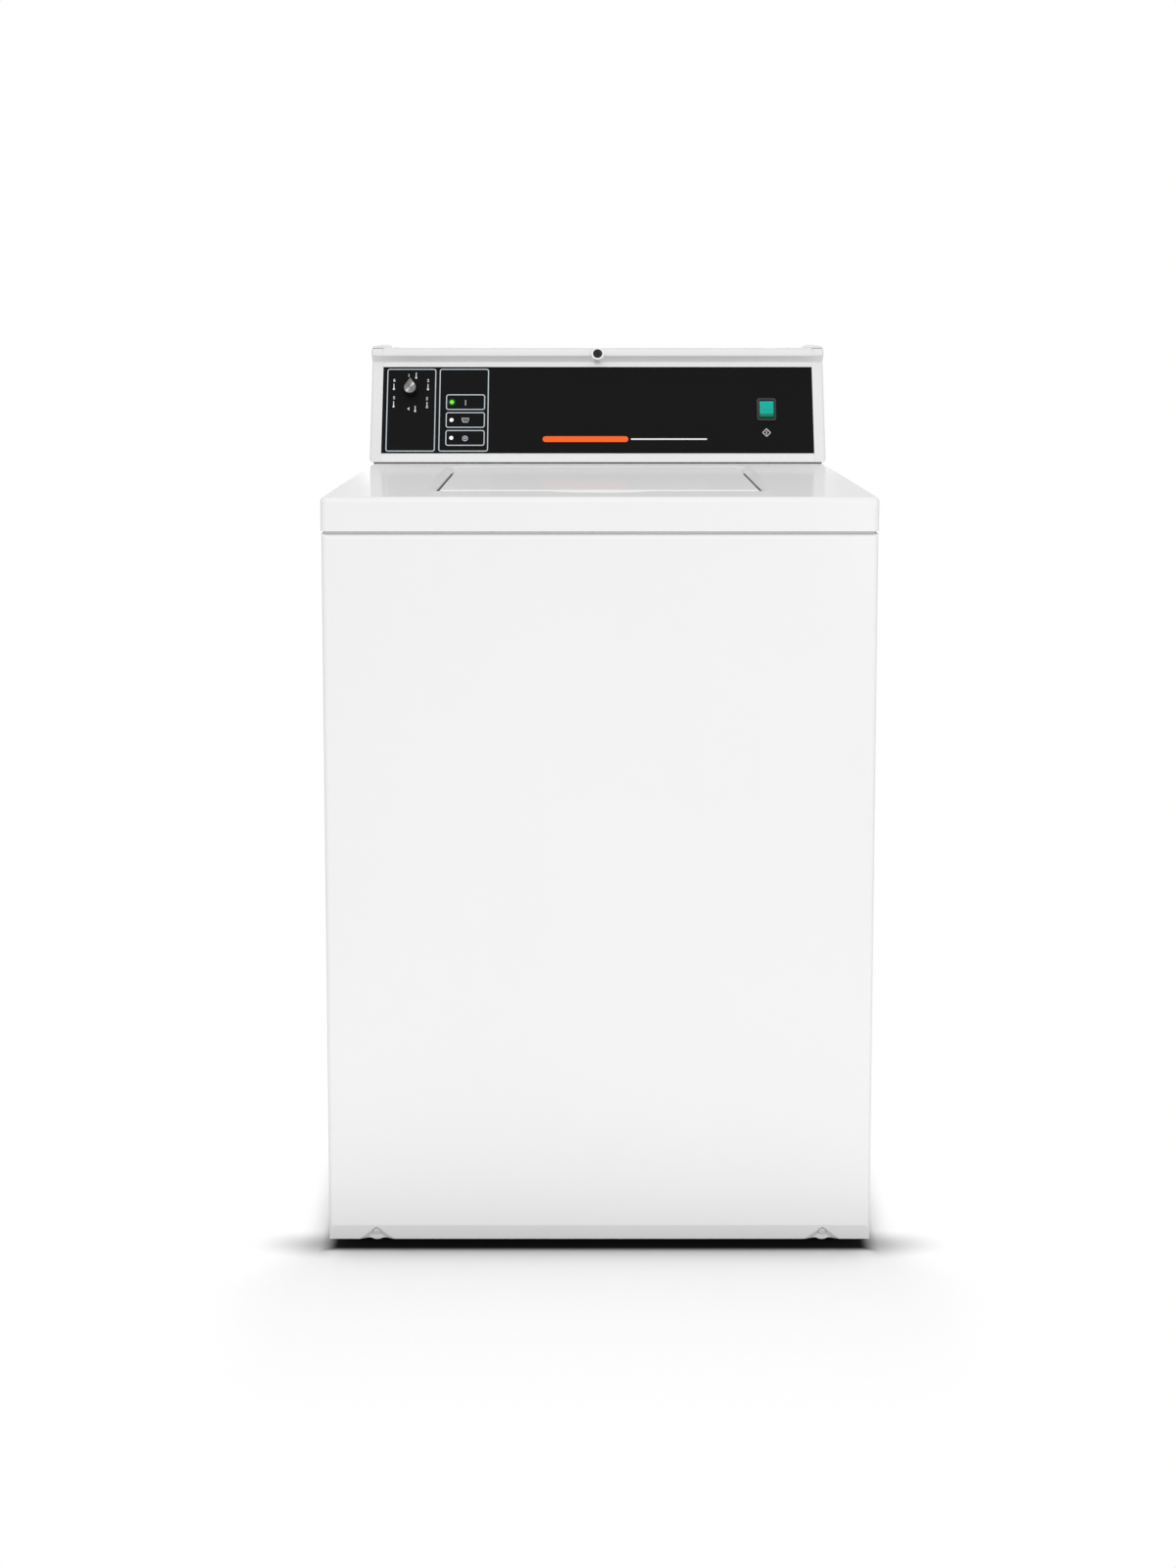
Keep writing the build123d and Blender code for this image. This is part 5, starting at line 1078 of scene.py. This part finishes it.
class WASHER_OT_springs(bpy.types.Operator):
    """Wind the six centring springs, and hang the drain hose between the tub and the cabinet"""

    bl_idname = "washer.springs"
    bl_label = "Centring springs"

    def execute(self, context):
        inner, outer = 0.189, 0.292
        low, high = 0.042, 0.10245
        wire, coil, turns, lead = 0.0011, 0.0068, 16, 0.017
        length = math.hypot(outer - inner, high - low)

        # One spring along X, with straight leads and a stem from each lead to the coil
        spring = begin(
            "spring", bpy.ops.mesh.primitive_circle_add, vertices=8, radius=wire,
            location=(lead, 0, coil), rotation=(math.pi / 2, 0, 0),
        )
        settle(spring)
        wind(spring, "X", (length - 2 * lead) / turns, turns, 14)
        bpy.ops.object.mode_set(mode="EDIT")
        for start in (0.0, length - lead):
            bpy.ops.mesh.primitive_cylinder_add(
                vertices=8, radius=wire, depth=lead, location=(start + lead / 2, 0, 0),
                rotation=(0, math.pi / 2, 0),
            )
        for start in (lead, length - lead):
            bpy.ops.mesh.primitive_cylinder_add(
                vertices=8, radius=wire, depth=coil + 2 * wire, location=(start, 0, coil / 2),
                rotation=(0, 0, 0),
            )
        settle(spring, None, 60)

        # A pair at each of the three pedestals
        fall = Matrix.Rotation(math.atan2(high - low, outer - inner), 4, "Y")
        bearings = [pedestal + side for pedestal in (90, 210, 330) for side in (-17, 17)]
        for number, degrees in enumerate(bearings, start=1):
            bearing = math.radians(degrees)
            ray = Vector((math.cos(bearing), math.sin(bearing), 0))
            begins = ray * inner + Vector((0, TUB_AXIS.y, high))
            one = copied(spring, f"centring_spring_{number}")
            settle(one, Matrix.Translation(begins) @ Matrix.Rotation(bearing, 4, "Z") @ fall, 60)
            hand_over(one, bpy.data.materials["zinc plate"], None, "zinc_steel")
            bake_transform(one)
            if number == 1:
                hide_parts("centering_springs")
        bpy.data.objects.remove(spring)

        hose = settle(twin("drain_hose", "drain_tube"))
        hand_over(hose, bpy.data.materials["black rubber"], None, "rubber_black", "drain_hose")
        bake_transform(hose)
        return {"FINISHED"}


class WASHER_OT_inlets(bpy.types.Operator):
    """Cut threads on the two water inlets"""

    bl_idname = "washer.inlets"
    bl_label = "Water inlets"

    def execute(self, context):
        tooth, core, pitch, turns, begins = 0.0010, 0.0131, 0.0022, 7, 0.3310
        thread = begin(
            "thread", bpy.ops.mesh.primitive_circle_add, vertices=3, radius=tooth,
            location=(core, 0, 0), rotation=(math.pi / 2, 0, 0),
        )
        settle(thread)
        wind(thread, "Z", pitch, turns, 32)
        open_mesh()
        bpy.ops.mesh.select_mode(type="EDGE")
        bpy.ops.mesh.select_non_manifold()
        bpy.ops.mesh.fill()
        settle(thread)
        backwards = Matrix.Rotation(-math.pi / 2, 4, "X")
        for name, inlet in (("cold_thread", "cold_inlet"), ("hot_thread", "hot_inlet")):
            x, _, z = MOUNTS[inlet]["pos_m"]
            one = copied(thread, name)
            settle(one, Matrix.Translation((x, begins, z)) @ backwards)
            hand_over(one, bpy.data.materials["valve nylon"], "cabinet", "valve_plastic")
        bpy.data.objects.remove(thread)
        return {"FINISHED"}


def hex_screw(name, across, head, flange):
    """A hex washer head, rounded, with a slot across it, standing on z = 0."""
    piece = begin(
        name, bpy.ops.mesh.primitive_cylinder_add, vertices=6, radius=across, depth=head,
        location=(0, 0, head / 2),
    )
    choose("FACE", facing_up)
    crown = across * 0.10
    bpy.ops.mesh.inset(thickness=across * 0.16, depth=crown)
    washer = begin(
        "washer", bpy.ops.mesh.primitive_cylinder_add, vertices=36, radius=flange, depth=head * 0.3,
        location=(0, 0, head * 0.15),
    )
    choose("FACE", facing_up)
    bpy.ops.mesh.inset(thickness=flange * 0.1, depth=head * 0.08)
    top = (0, 0, head + crown)
    slot = begin("slot", bpy.ops.mesh.primitive_cube_add, size=1, location=top)
    grow(across * 3, across * 0.22, head * 0.5, top)
    settle(slot)
    settle(piece)
    cut(piece, slot)
    soften(piece, across * 0.04, 2, 30)
    settle(washer)
    return joined(name, [piece, washer])


class WASHER_OT_screws(bpy.types.Operator):
    """Model the front panel's two screws and the water valve's two"""

    bl_idname = "washer.screws"
    bl_label = "Screws"

    def execute(self, context):
        # The front screws stand on the two tabs of the base, which lean out at the foot
        tab_rise, tab_run = 0.0192, 0.005
        tab_length = math.hypot(tab_rise, tab_run)
        out = Vector((0, -tab_rise / tab_length, -tab_run / tab_length))
        upward = out.cross(FACE_ACROSS)
        tab_foot, screw_up, sunk = Vector((0, -0.3505, 0.018)), 0.0105, 0.0036
        foot = tab_foot + upward * screw_up - out * sunk
        turn = Matrix((FACE_ACROSS, upward, out)).transposed().to_4x4()
        left = hex_screw("front_screw_left", 0.0044, 0.0030, 0.0056)
        right = copied(left, "front_screw_right")
        paint = finish("painted screw", (0.62, 0.62, 0.62), (0.3, 0.42), mottle=0.04, patch=300, grain=900)
        for piece, side, nodes in ((left, -0.2675, ["front_panel_screws"]), (right, 0.2675, [])):
            settle(piece, Matrix.Translation(foot + Vector((side, 0, 0))) @ turn)
            hand_over(piece, paint, "cabinet", "zinc_steel", *nodes)

        valve_x, plate_y, valve_z, spread = -0.145, 0.3235, 0.765, 0.022
        backwards = Matrix.Rotation(-math.pi / 2, 4, "X")
        upper = hex_screw("valve_screw_upper", 0.0038, 0.0026, 0.0048)
        lower = copied(upper, "valve_screw_lower")
        for piece, rise in ((upper, spread), (lower, -spread)):
            settle(piece, Matrix.Translation((valve_x, plate_y, valve_z + rise)) @ backwards)
            hand_over(piece, bpy.data.materials["zinc plate"], "cabinet", "zinc_steel")
        return {"FINISHED"}


class WASHER_OT_seals(bpy.types.Operator):
    """Model grey strips of painted shade in the joint over the front panel and in the gap beside the lid"""

    bl_idname = "washer.seals"
    bl_label = "Gap shades"

    def execute(self, context):
        # A grey strip lies between the front panel's top and the deck's skirt, a little behind the front: painted
        # shade that sets how dark the joint looks
        low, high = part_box("front_panel")
        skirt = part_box("cabinet_wrap")[1][2]
        short, deep, set_back, overlap = 0.008, 0.005, 0.0020, 0.0004
        size = (high[0] - low[0] - short, deep, skirt - high[2] + overlap)
        centre = (0, low[1] + set_back + size[1] / 2, (skirt + high[2]) / 2)
        joint_shade_strip = begin("front_joint_shade_strip", bpy.ops.mesh.primitive_cube_add, size=1, location=centre)
        grow(*size, centre)
        settle(joint_shade_strip)
        modify(joint_shade_strip, "BEVEL", width=0.0006, segments=2)
        joint_shade_grey = finish(
            "joint shade grey", (0.46, 0.46, 0.46), (0.6, 0.8), mottle=0.04, patch=200, grain=900, strength=0.3
        )
        hand_over(settle(joint_shade_strip), joint_shade_grey, "cabinet", "nylon_white")

        # Dark grey strips on the lip of the lid's well, clear of the round corners, are painted shade that darkens
        # the gap beside the lid
        low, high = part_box("lid")
        strip_radius, gap, drop, front_clear, rear_clear = 0.0012, 0.0056, 0.0064, 0.014, 0.05
        lip = Vector((high[0] + gap, 0, high[2] - drop))
        front, rear = low[1] + front_clear, high[1] - rear_clear
        left = begin(
            "lid_gap_shade_left", bpy.ops.mesh.primitive_cylinder_add, vertices=16, radius=strip_radius,
            depth=rear - front, location=(-lip.x, (front + rear) / 2, lip.z), rotation=(math.pi / 2, 0, 0),
        )
        choose("FACE", lambda _, face: abs(face.normal.z) > 0.9)
        bpy.ops.mesh.inset(thickness=strip_radius * 0.4, depth=strip_radius * 0.5)
        right = copied(settle(left), "lid_gap_shade_right")
        settle(right, Matrix.Translation((2 * lip.x, 0, 0)))
        # The strips' dark grey is painted shade
        rubber = finish(
            "lid gap shade grey", (0.15, 0.15, 0.155), (0.6, 0.8), mottle=0.1, patch=90, grain=900, strength=0.4
        )
        for gap_shade_strip in (left, right):
            hand_over(gap_shade_strip, rubber, "cabinet", "rubber_black")
        return {"FINISHED"}


class WASHER_OT_stage(bpy.types.Operator):
    """Set the floor, the light and the camera"""

    bl_idname = "washer.stage"
    bl_label = "Stage"

    def execute(self, context):
        scene = context.scene
        stage = scene.washer_stage
        floor = begin("floor", bpy.ops.mesh.primitive_plane_add, size=40)
        bpy.ops.mesh.subdivide(number_cuts=3)
        settle(floor)
        floor.data.materials.append(paper_floor(stage.paper))
        scene.world = studio(stage.sky)

        # Round soft lights: name, power, width and place
        lights = (
            ("key", stage.key, 3.2, (-0.45, -3.9, 2.45)),
            ("fill", stage.fill, 1.4, (1.3, -3.4, 0.72)),
            ("rear", stage.rear, 1.8, (0.0, 3.9, 0.7)),
        )
        aim = Vector((0, 0, 0.55))
        for name, power, width, place in lights:
            to_objects()
            bpy.ops.object.light_add(type="AREA", location=place)
            light = context.object
            light.name = name
            light.data.energy = power
            light.data.shape = "DISK"
            light.data.size = width
            light.rotation_euler = (aim - Vector(place)).to_track_quat("-Z", "Y").to_euler()

        to_objects()
        bpy.ops.object.camera_add(location=stage.eye, rotation=(math.pi / 2 - stage.tilt, 0, 0))
        camera = context.object
        camera.data.lens = stage.lens
        camera.data.sensor_width = 36.0
        camera.data.shift_y = stage.rise
        scene.camera = camera
        scene.view_settings.view_transform = "Standard"
        return {"FINISHED"}


OPERATORS = (
    WASHER_OT_finishes,
    WASHER_OT_panel_print,
    WASHER_OT_selector,
    WASHER_OT_start_switch,
    WASHER_OT_lamps,
    WASHER_OT_key_lock,
    WASHER_OT_basket,
    WASHER_OT_springs,
    WASHER_OT_inlets,
    WASHER_OT_screws,
    WASHER_OT_seals,
    WASHER_OT_stage,
)

SETTINGS = {
    "washer_finishes": WasherFinishes,
    "washer_print": WasherPrint,
    "washer_basket": WasherBasket,
    "washer_stage": WasherStage,
}


class WASHER_PT_pieces(bpy.types.Panel):
    """The machine's pieces, in the order they are made"""

    bl_idname = "WASHER_PT_pieces"
    bl_label = "Washer"
    bl_space_type = "VIEW_3D"
    bl_region_type = "UI"
    bl_category = "Washer"

    def draw(self, context):
        for settings in SETTINGS:
            group = getattr(context.scene, settings)
            for name in group.__annotations__:
                self.layout.prop(group, name)
        for operator in OPERATORS:
            self.layout.operator(operator.bl_idname)


def register():
    for group in SETTINGS.values():
        bpy.utils.register_class(group)
    for operator in OPERATORS:
        bpy.utils.register_class(operator)
    bpy.utils.register_class(WASHER_PT_pieces)
    for name, group in SETTINGS.items():
        setattr(bpy.types.Scene, name, PointerProperty(type=group))


def unregister():
    for name in SETTINGS:
        delattr(bpy.types.Scene, name)
    bpy.utils.unregister_class(WASHER_PT_pieces)
    for operator in reversed(OPERATORS):
        bpy.utils.unregister_class(operator)
    for group in SETTINGS.values():
        bpy.utils.unregister_class(group)


def main():
    register()
    for operator in OPERATORS:
        family, name = operator.bl_idname.split(".")
        getattr(getattr(bpy.ops, family), name)()
    to_objects()


if __name__ == "__main__":
    main()
